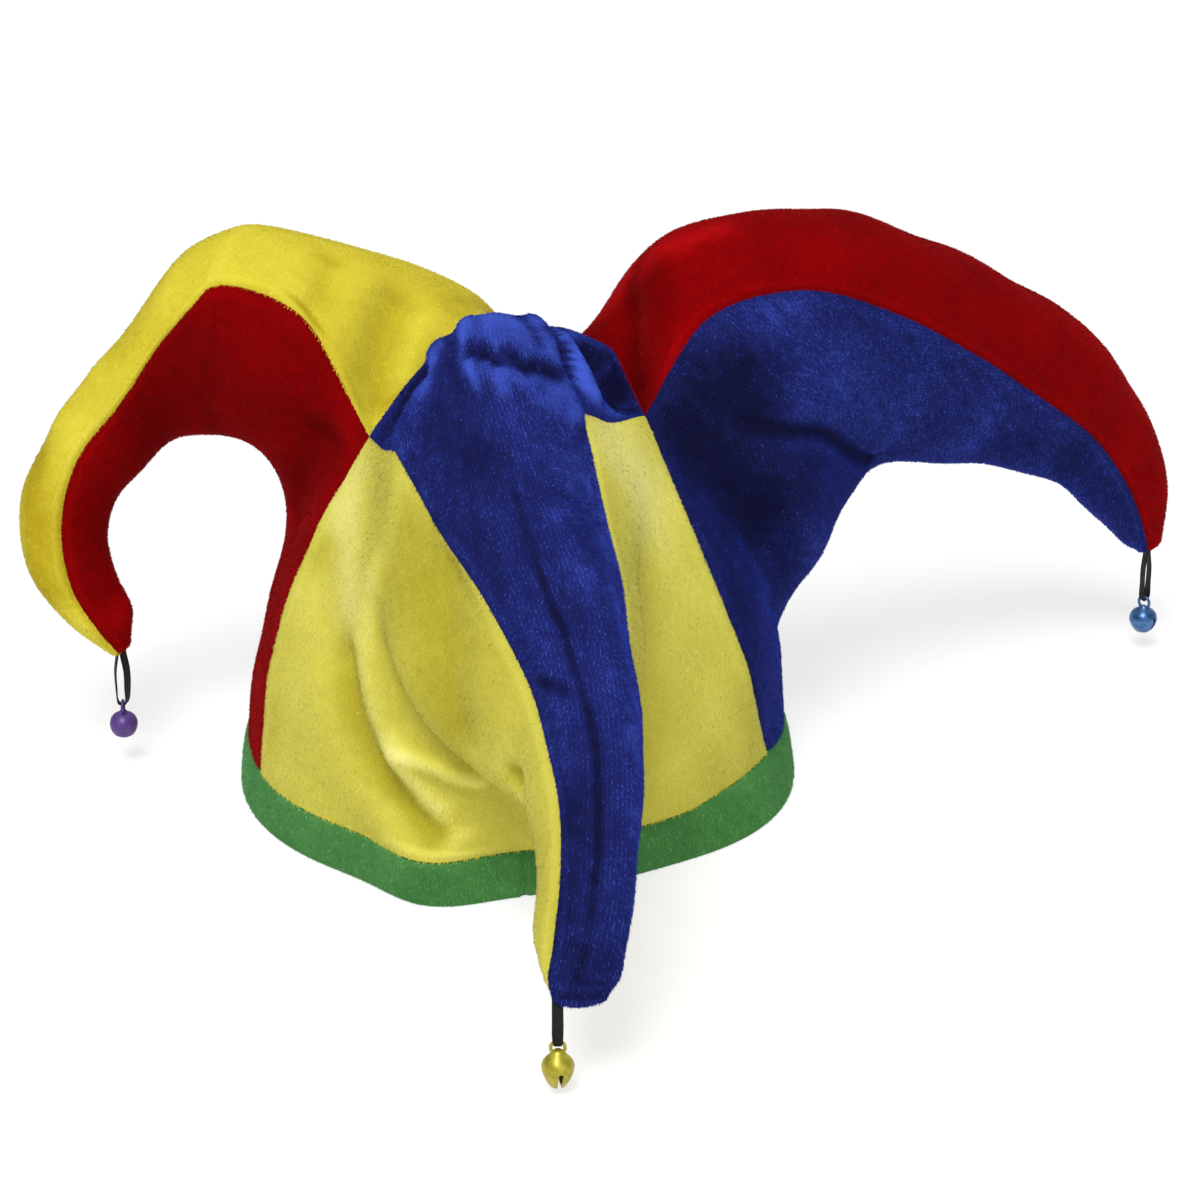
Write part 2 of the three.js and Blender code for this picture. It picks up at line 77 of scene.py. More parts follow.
# The rim isn't round: each row pushes it in or out about one azimuth, at the hem and at the band's top.
RIM_FOLDS = table(("azimuth", "hem", "top", "spread"), [
    (253, 9.5, 11.5, 9),
    (306, -6.5, -6, 18),
    (340, 0, -8, 17),
    (190, 0, -2.5, 14),
    (90, 6, 5, 45),
])

# The crown's side seams rise from the band, at rim_azimuth, to the junctions where two strips meet, at
# azimuth, radius and height. bow is how far a seam's middle swings round the crown, and puff how far the
# seam from the junction to the crown's top stands up.
SIDE_SEAMS = named_table(("rim_azimuth", "azimuth", "radius", "height", "bow", "puff"), {
    "frontLeft": (199, 210.4, 53.2, 136.0, -3.0, 6),
    "frontRight": (350, 327.2, 49.8, 143.6, -7.0, 18),
    "back": (95, 92, 52, 140.0, 0.0, 0),
})

# Stations along a horn: ridge and keel as reach from the axis and height, the turn of each from the
# horn's azimuth, the half width, how much fuller the section is towards its ridge, and the angles above
# level of the two seams.
STATION = (
    "ridge", "ridge_z", "keel", "keel_z", "ridge_turn", "keel_turn",
    "half_width", "full", "seam_a", "seam_b",
)
# Each horn stands over the part of the crown between its two side seams. At the key rows in corners its
# seams turn a corner. relax_rounds is how often its lower panel is evened out, and relax_end the row where
# that ends. wall runs up the crown's middle under the horn, ridge_start is where the strip over the horn
# begins, and tip_length the length of the closed end.
HORNS = {
    "front": {
        "azimuth": 274,
        "corners": (ROOT_ROW, ROOT_ROW + 1),
        "relax_rounds": 500,
        "relax_end": 7.5,
        "tip_length": 4.0,
        "seams": ("frontLeft", "frontRight"),
        "wall": table(("reach", "height"), [(88, 28), (92, 36), (99, 45)]),
        "ridge_start": {"reach": 30, "azimuth": 269, "height": 174},
        "stations": table(STATION, [
            (47, 185, 105, 48, -10.5, -3, 44.5, -0.4, 24.8, 38),
            (81, 156, 114, 51, -2.4, -1, 41, -0.4, 34, 30),
            (111, 134, 124, 54, 3.9, 0.6, 29, -0.2, 36, 33),
            (140, 112, 136, 55, 6.6, 1.8, 18.5, 0.1, 34, 24),
            (167, 93, 150, 51, 6.4, 1.6, 14.5, 0.25, 34, 24),
            (189, 71, 168, 43, 5.1, 1.0, 12.2, 0.25, 38, 24),
            (202, 51, 184, 38, 3.6, 0.8, 12.0, 0.25, 38, 20),
            (207, 38.5, 195, 36, 2.6, 1.9, 11.2, 0.25, 24, 10),
            (206, 33, 198, 33.5, 2.2, 2.2, 8.4, 0.25, 10, 10),
        ]),
    },
    "left": {
        "azimuth": 167,
        "corners": (ROOT_ROW, 6),
        "relax_rounds": 160,
        "relax_end": 9.5,
        "tip_length": 2.4,
        "seams": ("back", "frontLeft"),
        "wall": table(("reach", "height"), [(86, 46), (81, 72), (78.5, 95)]),
        "ridge_start": {"reach": 32, "azimuth": 156, "height": 170},
        "stations": table(STATION, [
            (60, 184.5, 84, 114, 0, 0, 34, 0.1, 35, 41),
            (88, 189, 101, 115.2, 0, 0, 26, 0.25, 45, 45),
            (95, 188, 106, 114.8, 0.3, 0.3, 25, 0.25, 44, 43),
            (110, 180, 117, 113.8, 1, 1, 22, 0.25, 42, 17),
            (128, 155, 125, 105, 3, 3, 20, 0.25, 35, 13),
            (149.5, 127, 134, 97, 5, 5, 17, 0.25, 25, 10),
            (165, 99, 138, 82, 6, 6, 15, 0.25, 20, -7),
            (164, 74, 134.5, 67.5, 7.5, 7.5, 14, 0.25, 20, -8),
            (153, 56, 130, 58, 8.5, 8.5, 11, 0.25, 20, -2),
            (138, 43, 130.5, 47.5, 9, 9, 4.6, 0.25, 10, 7),
        ]),
    },
    "right": {
        "azimuth": 20,
        "corners": (ROOT_ROW,),
        "relax_rounds": 30,
        "relax_end": 7.5,
        "tip_length": 2.4,
        "seams": ("frontRight", "back"),
        "wall": table(("reach", "height"), [(90, 34), (91, 43), (97, 55)]),
        "ridge_start": {"reach": 34, "azimuth": 30, "height": 138},
        "stations": table(STATION, [
            (50, 185, 104, 69, -3, -3, 38, 0, 47, 40),
            (84, 191, 116, 86, -1, -1, 28, 0.25, 42, 45),
            (115, 187, 132, 95, 1, 1, 25, 0.25, 27, 50),
            (150, 171, 162, 89, 3, 3, 24, 0.25, 13, 56),
            (182, 152, 185, 82, 4, 4, 22, 0.25, -1, 62),
            (211, 131, 205, 72, 4, 4, 19, 0.25, -10, 66),
            (234, 101, 223, 56, 4.3, 4.3, 15, 0.25, -18, 62),
            (247, 72, 235, 43, 4.3, 4.3, 11, 0.25, -32, 50),
            (248, 45.5, 239, 40.5, 4, 4, 4.6, 0.25, -26, 30),
        ]),
    },
}

# Folds and dents. A path runs through points given as row (0 at the band or the top, 3 at the horn's
# root, one more at each station) and place across the panel, -1 to 1 from seam to seam. After it come the
# fold's half width and its height, negative for a dent.
FOLDS = {
    "lower_front": [
        (((3.3, -0.68), (2.2, -0.56), (1.68, -0.45), (1.81, -0.35), (2.16, -0.23)), 10, 2.6),
        (((1.79, -0.67), (1.49, -0.56), (1.2, -0.45), (0.97, -0.34), (0.59, -0.24)), 8, -5.5),
        (((2.16, -0.91), (1.92, -0.77), (1.75, -0.66)), 10, -2),
        (((1.56, -0.38), (1.36, -0.32), (1.02, -0.24), (0.6, -0.19)), 6, 3.5),
        (((1.85, -0.34), (2.13, -0.25), (2.2, -0.14)), 4, 2),
        (((7.02, -0.51), (7.15, -0.54)), 5, -4),
        (((5.24, -0.89), (5.57, -0.74), (5.72, -0.52)), 14, -6),
    ],
    "upper_front": [
        (((6.1, 0.37), (7.1, 0.37), (7.9, 0.26), (8.8, 0.28), (9.3, 0.32)), 2, -0.3),
        (((5.4, 0.27), (6.3, 0.39), (7.1, 0.37), (7.9, 0.26), (8.8, 0.28), (9.5, 0.33), (10.8, 0.3)),
         1.8, -0.15),
        (((5.7, -0.15), (6.45, -0.14), (7.35, -0.08), (8.3, -0.1), (9.9, -0.04)), 7, 2.5),
        (((5.5, 0.55), (6.4, 0.66), (7.4, 0.62), (8.6, 0.56), (9.8, 0.56)), 6, 1.5),
        (((7.05, 0.74), (7.25, 0.54)), 3, -1),
        (((3.82, 0.19), (4.24, 0.26), (4.45, 0.27)), 3.5, 2),
        (((4.29, 0.21), (4.4, -0.05), (4.36, -0.42), (4.1, -0.73)), 2.7, -3.4),
        (((4.45, 0.2), (4.55, -0.13), (4.43, -0.61)), 6, 1.8),
        (((3.53, -0.28), (3.69, -0.5), (4.03, -0.74), (4.25, -0.87)), 3.5, 3),
        (((3.48, -0.41), (3.64, -0.63), (3.83, -0.82)), 2.6, -3.5),
        (((3.34, -0.42), (3.42, -0.55), (3.56, -0.74), (3.64, -0.89)), 3.5, 3),
        (((3.0, -0.52), (3.12, -0.7), (3.05, -0.86)), 7, -8.5),
        (((3.86, 0.63), (3.78, 0.78), (3.8, 0.93)), 4, -6.5),
        (((3.76, 0.46), (4.01, 0.7), (4.0, 0.89), (4.04, 0.99)), 5, 3),
    ],
    "upper_left": [
        (((8.5, -0.1), (9, -0.1)), 9, 2),
        (((3.95, -0.23), (3.88, -0.64), (3.93, -0.97)), 8, -3),
        (((3.16, -0.2), (3.08, -0.49), (3.02, -0.69), (2.79, -0.82)), 8, -3),
    ],
    "lower_left": [
        (((2.7, 0.36), (3, 0.54), (3.1, 0.75)), 8, -3),
    ],
    "upper_right": [
        (((3.52, -0.03), (3.28, 0.11), (2.99, 0.37)), 9, -3),
    ],
    "lower_right": [
        (((4, -0.72), (4.6, -0.56), (5.8, -0.3)), 9, -3),
        (((3.72, -0.73), (4.51, -0.62), (4.82, -0.56), (5.68, -0.28)), 3, -2.2),
    ],
}

# Painted light and shade on the pile, with places where it is brushed another way: paths and half widths
# as
# for the folds, and how much paler the pile is painted there, negative for darker. Most marks are painted:
# highlights on lit tops and ridges, and shade under the horns' roots, in creases and in the hump's
# pockets.
BRUSHED_AND_PAINTED_LIGHT = {
    "lower_front": [
        (((4.65, -0.9), (4.87, -0.78), (5.14, -0.64), (5.49, -0.5)), 15, -0.28),
        (((5.77, -0.89), (6.29, -0.76)), 12, -0.12),
        (((2.76, -0.97), (2.69, -0.85), (2.51, -0.72)), 14, 0.38),
        (((1.82, -0.89), (1.01, -0.8)), 12, 0.12),
        (((4.24, -0.96), (4.16, -0.82), (3.22, -0.61), (2.22, -0.55), (1.76, -0.44), (1.95, -0.35)),
         5, 0.15),
        (((1.45, -0.66), (1.19, -0.54), (0.98, -0.44), (0.61, -0.26)), 8, -0.25),
        (((1.76, -0.4), (1.63, -0.31), (1.13, -0.22)), 6, 0.2),
        (((3.6, 0.94), (3.19, 0.83)), 18, 0.55),
        (((2.6, 0.84), (1.84, 0.83), (0.75, 0.77)), 14, 0.12),
        (((8.58, -0.74), (9.95, -0.9)), 8, -0.1),
    ],
    "upper_front": [
        (((4.1, 0.05), (3.97, -0.43)), 8, 0.34),
        (((3.93, 0.43), (4.06, 0.59), (4.16, 0.73), (4.22, 0.88)), 3.5, 0.3),
        (((4.33, 0.23), (4.43, -0.08), (4.32, -0.5), (4.15, -0.73)), 1.5, -0.4),
        (((4.52, -0.03), (4.5, -0.47), (4.4, -0.78)), 5, 0.14),
        (((4.66, -0.01), (4.65, -0.47), (5.17, -0.63)), 12, 0.16),
        (((4.41, 0.69), (4.78, 0.5), (5.26, 0.61)), 9, -0.1),
        (((3.92, 0.17), (4.26, 0.26), (4.56, 0.25)), 1.5, 0.2),
        (((3.67, -0.36), (3.95, -0.6), (4.03, -0.77)), 1.6, 0.2),
        (((3.71, -0.5), (3.56, -0.58), (3.73, -0.77)), 1.6, -0.3),
        (((3.38, -0.4), (3.5, -0.61), (3.7, -0.85)), 2.5, 0.3),
        (((2.33, -0.72), (2.65, -0.82), (2.79, -0.93)), 6, -0.35),
        (((3.6, -0.71), (3.74, -0.89), (3.6, -0.93), (3.1, -0.94)), 4, 0.45),
        (((4.43, -0.86), (4.91, -0.9), (5.86, -0.77), (6.81, -0.54), (8.2, -0.4)), 5, 0.16),
        (((8.38, 0.64), (9.37, 0.53), (10.69, 0.11)), 14, -0.2),
        (((3.62, 0.62), (3.58, 0.74), (3.52, 0.86), (3.45, 0.95)), 4, -0.5),
        (((3.51, 0.71), (3.43, 0.83), (3.28, 0.93)), 5, -0.1),
        (((1.9, -0.75), (2.1, -0.9), (2.5, -0.97)), 2, 0.2),
    ],
    "upper_left": [
        (((9.54, -0.17), (10.1, -0.51), (11.2, -0.51)), 8, -0.45),
    ],
    "lower_left": [
        (((7, 0.69), (4.65, 0.71), (3.79, 0.6)), 16, -0.12),
    ],
    "upper_right": [
        (((3.47, -0.19), (3.5, 0.49), (3.38, 0.89)), 12, 0.22),
        (((3.84, -0.04), (4.18, 0.2), (4.57, 0.19)), 5, 0.3),
        (((3.53, -0.61), (3.64, -0.35), (3.78, -0.33)), 4, 0.4),
    ],
    "lower_right": [
        (((3.12, -0.79), (2.79, -0.55), (1.3, -0.79)), 20, -0.28),
        (((3.7, -0.91), (3.89, -0.8), (3.86, -0.73)), 12, -0.25),
        (((4.16, -0.86), (4.53, -0.8)), 8, -0.2),
        (((4.76, -0.91), (4.88, -0.73), (5.72, -0.59)), 13, 0.2),
        (((6.44, -0.77), (7.6, -0.78)), 12, 0.1),
        (((3.72, -0.73), (4.51, -0.62), (4.82, -0.56), (5.68, -0.28)), 1.6, -0.45),
        (((3.75, -0.58), (4.43, -0.49), (5.11, -0.31)), 13, -0.2),
        (((8.75, -0.79), (10.26, -0.82)), 9, -0.1),
    ],
}
FOLD_SAMPLES = 48  # points taken along each leg of a fold's path
FOLD_MARGIN = 4.0  # a fold fades out over this distance from a seam
FOLD_START = 0.8  # and over this many rows at a panel's start

# Ribbon loops: where a loop hangs, as reach and azimuth, the height of the horn's tip there, drop the
# height of the bell's pivot, face the azimuth that the ribbon's flat side looks along, spread half the
# distance between the legs at the top, tuck their reach up into the horn, slot the turn of the bell's
# slot, and twist how far each leg turns about its own line.
HANGER = ("reach", "azimuth", "tip_z", "drop", "face", "spread", "tuck", "slot", "twist")
HANGERS = named_table(HANGER, {
    "left": (134.25, 176.0, 45.25, 22.6, 180, 0.8, 3.0, 0, (13, 30)),
    "front": (202.75, 274.3, 31.25, 16.0, 270, 0.75, 1.2, 12, (0, 0)),
    "right": (243.5, 24.0, 43.0, 19.8, 230, 0.5, 3.0, 90, (-33, 33)),
})
RIBBON_WIDTH = 3.4
RIBBON_NECK = 0.9  # its width where it runs through the bell's ring
RIBBON_THICKNESS = 0.5
RIBBON_BELLY = 1.9  # half the distance between the legs where they bulge
RIBBON_BULGE = (0.8, 0.5, 0.26)  # shares of a leg's height where its bulge starts, is full and ends
RIBBON_FOOT = (1.45, 0.8, 1.0)  # just above the ring: half the distance, share of the width, height
# Corners of the ribbon's section, in halves of its width and thickness
RIBBON_SECTION = (
    (-1.0, -0.55), (-0.93, -1.0), (0.93, -1.0), (1.0, -0.55),
    (1.0, 0.55), (0.93, 1.0), (-0.93, 1.0), (-1.0, 0.55),
)
RIBBON_POINTS = 64  # steps along a loop
TWIST_FROM = 0.4  # share of a leg, up from the bell, over which it takes its twist
RING_HOLE = 1.6
RING_WIRE = 0.55
RING_HANG = 0.85  # the ring's centre is this far below the pivot
BELL_TOP = RING_HANG + RING_HOLE + RING_WIRE
BELL_WALL = 0.7
SLOT_WIDTH = 1.4
SLOT_HEIGHT = 5.4
SLOT_END = 0.85  # radius of the hole at the slot's end

# Edges sharper than these angles, in degrees, are shaded as edges.
RIBBON_EDGE = 35
BELL_EDGE = 40
CLOTH_EDGE = 50
BAND_EDGE = 60

# Helpers

RIPPLE_SPREAD = (0.7, 1.5)  # how far the waves of a ripple differ in length


def mix(a, b, t):
    return a + (b - a) * t


def unit(v):
    return v / np.maximum(np.linalg.norm(v, axis=-1, keepdims=True), 1e-9)


def polar(radius, azimuth, height):
    angle = np.radians(azimuth)
    return np.stack(np.broadcast_arrays(radius * np.cos(angle), radius * np.sin(angle), height), -1)


def nearest(azimuth, to):
    return to + (azimuth - to + 180) % 360 - 180


def rim_radius(azimuth, level):
    radius = RIM_RADIUS + RIM_OVAL * np.cos(np.radians(2 * np.asarray(azimuth, float)))
    for fold in RIM_FOLDS:
        away = nearest(azimuth, fold["azimuth"]) - fold["azimuth"]
        radius = radius + fold[level] * np.exp(-((away / fold["spread"]) ** 2) / 2)
    return radius


def ripple(points, wavelength, seed, waves=14):
    """Smooth noise of about -1 to 1 over points, in waves of about one length."""
    draw = np.random.default_rng(seed)
    way = unit(draw.normal(size=(waves, 3))) / (wavelength * draw.uniform(*RIPPLE_SPREAD, (waves, 1)))
    turn = draw.uniform(0, 2 * np.pi, waves)
    return np.sin(2 * np.pi * points @ way.T + turn).sum(-1) / math.sqrt(waves)


def curve_ends(keys):
    """How the centripetal curve through keys runs at the start and at the end of each span."""
    span = np.diff(keys, axis=0)
    pace = np.sqrt(np.maximum(np.linalg.norm(span, axis=-1, keepdims=True), 1e-6))
    speed = span / pace
    tangent = np.concatenate([speed[:1], speed])
    tangent[1:-1] = (speed[1:] * pace[:-1] + speed[:-1] * pace[1:]) / (pace[:-1] + pace[1:])
    return tangent[:-1] * pace, tangent[1:] * pace


def curve_points(keys, start, end, places):
    """Points of a curve through keys at places counted in spans."""
    made = []
    for place in places:
        i = min(int(place), len(keys) - 2)
        t = place - i
        made.append(
            keys[i] * (1 - 3 * t ** 2 + 2 * t ** 3) + keys[i + 1] * (3 * t ** 2 - 2 * t ** 3)
            + start[i] * (t - 2 * t ** 2 + t ** 3) + end[i] * (t ** 3 - t ** 2)
        )
    return np.array(made)


# The solids' box tells where the crown's axis stands in the frame.
steps = np.arange(BAND_STEPS) * 360 / BAND_STEPS
rims = [polar(rim_radius(steps, level) + BAND_PROUD, steps, 0.0) for level in ("hem", "top")]
SHIFT = np.array(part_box("band")[0]) * 1000 - np.min(rims, (0, 1))
SHIFT[2] = 0.0


def to_frame(points):
    """Millimetres from the crown's axis to metres in the frame."""
    return (np.asarray(points, float) + SHIFT) / 1000


def new_object(name, data):
    made = bpy.data.objects.new(name, data)
    bpy.context.scene.collection.objects.link(made)
    return made


# Camera

CAMERA_ELEVATION = math.radians(25.0)
CAMERA_DISTANCE = 1400.0
CAMERA_AIM = np.array([27.6, 0.0, 66.0])
LENS_MM = 126.45

camera_data = bpy.data.cameras.new("photo_camera")
camera_data.lens = LENS_MM
camera_data.sensor_width = 36.0
camera_data.clip_end = 50.0
camera = new_object("photo_camera", camera_data)
ahead = np.array([0.0, math.cos(CAMERA_ELEVATION), -math.sin(CAMERA_ELEVATION)])
camera.location = to_frame(CAMERA_AIM - CAMERA_DISTANCE * ahead)
camera.rotation_euler = (math.pi / 2 - CAMERA_ELEVATION, 0.0, 0.0)
bpy.context.scene.camera = camera

# Meshes


def new_mesh(name, points, faces):
    mesh = bpy.data.meshes.new(name)
    mesh.from_pydata(np.asarray(points).tolist(), [], faces)
    return mesh


def finish_mesh(mesh, material, edge):
    """Smooth shading, apart from edges sharper than edge in degrees, and the material."""
    mesh.polygons.foreach_set("use_smooth", np.ones(len(mesh.polygons), bool))
    if edge is not None:
        mesh.set_sharp_from_angle(angle=math.radians(edge))
    mesh.materials.append(material)
    mesh.update()


def add_mesh(name, points, faces, material, edge=None):
    """A new object with its mesh in the frame. points are in millimetres from the crown's axis."""
    mesh = new_mesh(name, to_frame(points), faces)
    finish_mesh(mesh, material, edge)
    return new_object(name, mesh)


def numbered(rows, columns, round_rows=0, round_columns=0):
    """A grid of point numbers. 1 for either of the last two closes it round, from its end to its start."""
    index = np.arange(rows * columns).reshape(rows, columns)
    return np.pad(index, ((0, round_rows), (0, round_columns)), "wrap")


def grid_faces(index):
    """Faces between neighbours in a grid of point numbers."""
    corners = (index[:-1, :-1], index[:-1, 1:], index[1:, 1:], index[1:, :-1])
    return np.stack([corner.ravel() for corner in corners], 1).tolist()


def put_value(mesh, name, values):
    mesh.attributes.new(name, "FLOAT", "POINT").data.foreach_set("value", np.asarray(values, np.float32))


# Materials

# Grains of the materials, in waves to a metre
KNIT_SCALE = 900.0
RIBBON_RIBS = 900.0
LACQUER_BLOTCHES = 350.0
LACQUER_GRAIN = 1200.0
LACQUER_DENTS = 700.0


def linear(red, green, blue):
    """A colour given as it shows on a screen, 0 to 255, in the renderer's linear values."""
    shown = np.array([red, green, blue]) / 255
    return (*np.where(shown <= 0.04045, shown / 12.92, ((shown + 0.055) / 1.055) ** 2.4), 1.0)


def new_material(name):
    material = bpy.data.materials.new(name)
    material.use_nodes = True
    nodes = material.node_tree.nodes
    return material, nodes, material.node_tree.links, nodes["Principled BSDF"]


def set_inputs(node, values):
    for socket, value in values.items():
        node.inputs[socket].default_value = value


def noise_node(nodes, links, coordinates, scale, detail=3.0):
    noise = nodes.new("ShaderNodeTexNoise")
    set_inputs(noise, {"Scale": scale, "Detail": detail})
    links.new(coordinates, noise.inputs["Vector"])
    return noise.outputs["Fac"]


def add_bump(nodes, links, shader, source, strength, distance):
    bump = nodes.new("ShaderNodeBump")
    set_inputs(bump, {"Strength": strength, "Distance": distance})
    links.new(source, bump.inputs["Height"])
    links.new(bump.outputs["Normal"], shader.inputs["Normal"])


def ramp_node(nodes, links, source, stops):
    ramp = nodes.new("ShaderNodeValToRGB")
    while len(ramp.color_ramp.elements) < len(stops):
        ramp.color_ramp.elements.new(0.5)
    for element, (place, colour) in zip(ramp.color_ramp.elements, stops):
        element.position = place
        element.color = colour
    links.new(source, ramp.inputs["Fac"])
    return ramp.outputs["Color"]


def plush_material(name, colours, sheen, pile):
    """Plush: colours from the roots to the tips by each point's tone. The ground under the pile also has
    the grain of its knit as bump."""
    material, nodes, links, shader = new_material(name)
    tone = nodes.new("ShaderNodeAttribute")
    tone.attribute_name = "tone"
    places = (0.0, 0.5, 1.0)
    stops = [(place, linear(*colour)) for place, colour in zip(places, colours)]
    links.new(ramp_node(nodes, links, tone.outputs["Fac"], stops), shader.inputs["Base Color"])
    set_inputs(shader, {
        "Roughness": 0.9,
        "Specular IOR Level": 0.04,
        "Sheen Weight": sheen["weight"],
        "Sheen Roughness": sheen["roughness"],
        "Sheen Tint": linear(*sheen["tint"]),
    })
    if not pile:
        where = nodes.new("ShaderNodeTexCoord").outputs["Object"]
        knit = noise_node(nodes, links, where, KNIT_SCALE)
        add_bump(nodes, links, shader, knit, strength=0.5, distance=0.0005)
    return material


# Colours as they show: roots, middle and tips of the pile. yellow and gold are one plush: the crown's
# yellow is painted paler and greyer than the left horn's gold, as painted sheen.
PLUSH = {
    "yellow": ((165, 154, 42), (208, 200, 82), (238, 232, 142)),
    "gold": ((172, 150, 24), (213, 198, 58), (242, 230, 98)),
    "red": ((78, 0, 1), (132, 0, 2), (186, 10, 16)),
    "blue": ((15, 17, 48), (28, 35, 100), (64, 88, 194)),
    "green": ((40, 92, 42), (76, 134, 70), (130, 182, 122)),
}
SHEEN = named_table(("weight", "roughness", "tint"), {
    "yellow": (0.12, 0.4, (252, 246, 170)),
    "gold": (0.1, 0.4, (252, 240, 130)),
    "red": (0.1, 0.4, (255, 20, 30)),
    "blue": (0.3, 0.35, (60, 90, 255)),
    "green": (0.15, 0.4, (150, 240, 160)),
})
GROUND = {}
PILE = {}
for key, colours in PLUSH.items():
    GROUND[key] = plush_material(f"plush_{key}_ground", colours, SHEEN[key], False)
    PILE[key] = plush_material(f"plush_{key}_pile", colours, SHEEN[key], True)


def ribbon_material():
    """Black satin ribbon with its fine cross ribs."""
    material, nodes, links, shader = new_material("ribbon_satin")
    where = nodes.new("ShaderNodeTexCoord").outputs["Object"]
    wave = nodes.new("ShaderNodeTexWave")
    wave.bands_direction = "Z"
    set_inputs(wave, {"Scale": RIBBON_RIBS, "Distortion": 1.5})
    links.new(where, wave.inputs["Vector"])
    stops = [(0.0, linear(2, 2, 2)), (1.0, linear(9, 9, 10))]
    links.new(ramp_node(nodes, links, wave.outputs["Fac"], stops), shader.inputs["Base Color"])
    add_bump(nodes, links, shader, wave.outputs["Fac"], strength=0.6, distance=0.0002)
    set_inputs(shader, {"Roughness": 0.6, "Specular IOR Level": 0.25})
    return material


def bell_material(name, dark, light, metallic, roughness):
    """Lacquered metal with the small unevenness of dipped paint."""
    material, nodes, links, shader = new_material(name)
    where = nodes.new("ShaderNodeTexCoord").outputs["Object"]
    blotch = noise_node(nodes, links, where, LACQUER_BLOTCHES)
    stops = [(0.3, linear(*dark)), (0.7, linear(*light))]
    links.new(ramp_node(nodes, links, blotch, stops), shader.inputs["Base Color"])
    spread = nodes.new("ShaderNodeMapRange")
    set_inputs(spread, {"To Min": roughness - 0.08, "To Max": roughness + 0.1})
    links.new(noise_node(nodes, links, where, LACQUER_GRAIN), spread.inputs["Value"])
    links.new(spread.outputs["Result"], shader.inputs["Roughness"])
    dents = noise_node(nodes, links, where, LACQUER_DENTS, detail=1.0)
    add_bump(nodes, links, shader, dents, strength=0.25, distance=0.0002)
    set_inputs(shader, {"Metallic": metallic, "Coat Weight": 0.15, "Coat Roughness": 0.2})
    return material


RIBBON = ribbon_material()
BELL_SLOTS = {"left": "bell_purple", "front": "bell_gold", "right": "bell_sky"}
BELL_LOOKS = {
    "left": ((66, 40, 108), (94, 64, 138), 0.3, 0.55),
    "front": ((152, 140, 28), (192, 182, 62), 0.5, 0.5),
    "right": ((44, 80, 128), (84, 126, 182), 0.7, 0.36),
}
BELLS = {side: bell_material(f"{BELL_SLOTS[side]}_lacquer", *look) for side, look in BELL_LOOKS.items()}

# Ribbon loops


def pivot_of(hanger):
    return polar(hanger["reach"], hanger["azimuth"], hanger["drop"])


def turned_about_z(points, degrees):
    a = math.radians(degrees)
    turn = np.array([[math.cos(a), math.sin(a), 0], [-math.sin(a), math.cos(a), 0], [0, 0, 1]])
    return np.asarray(points) @ turn


def ribbon_route(hanger):
    """Points along a loop from one end to the other: the place across it, the width and the height."""
    top = hanger["tip_z"] + hanger["tuck"] - hanger["drop"]
    parting, belly_top, belly_end = RIBBON_BULGE
    foot_across, foot_width, foot_up = RIBBON_FOOT
    leg = [
        (hanger["spread"], RIBBON_WIDTH, top),
        (hanger["spread"], RIBBON_WIDTH, top * parting),
        (RIBBON_BELLY, RIBBON_WIDTH, top * belly_top),
        (RIBBON_BELLY, RIBBON_WIDTH, top * belly_end),
        (foot_across, RIBBON_WIDTH * foot_width, foot_up),
    ]
    other = [(-across, width, up) for across, width, up in reversed(leg)]
    keys = np.array([*leg, (0, RIBBON_NECK, 0), *other])
    return curve_points(keys, *curve_ends(keys), np.linspace(0, len(keys) - 1, RIBBON_POINTS + 1))


def make_ribbon(side):
    hanger = HANGERS[side]
    pivot = pivot_of(hanger)
    route = ribbon_route(hanger)
    line = np.stack([route[:, 0], np.zeros(len(route)), route[:, 2]], 1)
    way = unit(np.gradient(line, axis=0))
    out = np.stack([way[:, 2], np.zeros(len(route)), -way[:, 0]], 1)
    share = np.linspace(1, -1, len(route))
    turned = np.clip(np.abs(share) / TWIST_FROM, 0, 1)
    twist = np.radians(np.where(share > 0, *hanger["twist"]) * turned)[:, None]
    flat = np.array([0.0, 1.0, 0.0])
    across = np.cos(twist) * flat + np.sin(twist) * out
    thick = np.cos(twist) * out - np.sin(twist) * flat
    half = route[:, 1:2] / 2
    deep = RIBBON_THICKNESS / 2
    rings = np.stack([line + across * half * a + thick * deep * b for a, b in RIBBON_SECTION], 1)
    points = turned_about_z(rings.reshape(-1, 3), hanger["face"]) + pivot
    index = numbered(*rings.shape[:2])
    caps = [index[0, ::-1].tolist(), index[-1].tolist()]
    faces = grid_faces(numbered(*rings.shape[:2], round_columns=1)) + caps
    made = add_mesh(f"ribbon_{side}_loop", points, faces, RIBBON, RIBBON_EDGE)
    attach(made, "hat")
    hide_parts(f"ribbon_{side}")


for side in HANGERS:
    make_ribbon(side)

# Panels

LOWER_COLUMNS = 101
UPPER_COLUMNS = 81
ROWS_PER_SPAN = 16
INNER_ROWS = 3  # the inner face takes every third row
INNER_COLUMNS = 4  # and every fourth column
TIP_ROWS = ((0.5, 0.9), (0.86, 0.5), (1.0, 0.04))  # how far along the tip's end, and how wide
TIP_INSIDE = (0.7, 0.35, 0.02)  # share of each of these rows that the inner face keeps
TIP_BACK = 0.6  # and how far back it stays, as a share of the tip's length
SEAM_BEND = 4  # the higher, the nearer to a seam the surface turns the seam's corner


def side_seam(name, q, near):
    seam = SIDE_SEAMS[name]
    azimuth = mix(nearest(seam["rim_azimuth"], near), nearest(seam["azimuth"], near), q)
    azimuth += seam["bow"] * math.sin(math.pi * q)
    radius = mix(rim_radius(seam["rim_azimuth"], "top"), seam["radius"], q ** SEAM_CURVE)
    return azimuth, radius - rim_radius(azimuth, "top"), mix(CROWN_EDGE, seam["height"], q)


def junction(name):
    seam = SIDE_SEAMS[name]
    return polar(seam["radius"], seam["azimuth"], seam["height"])


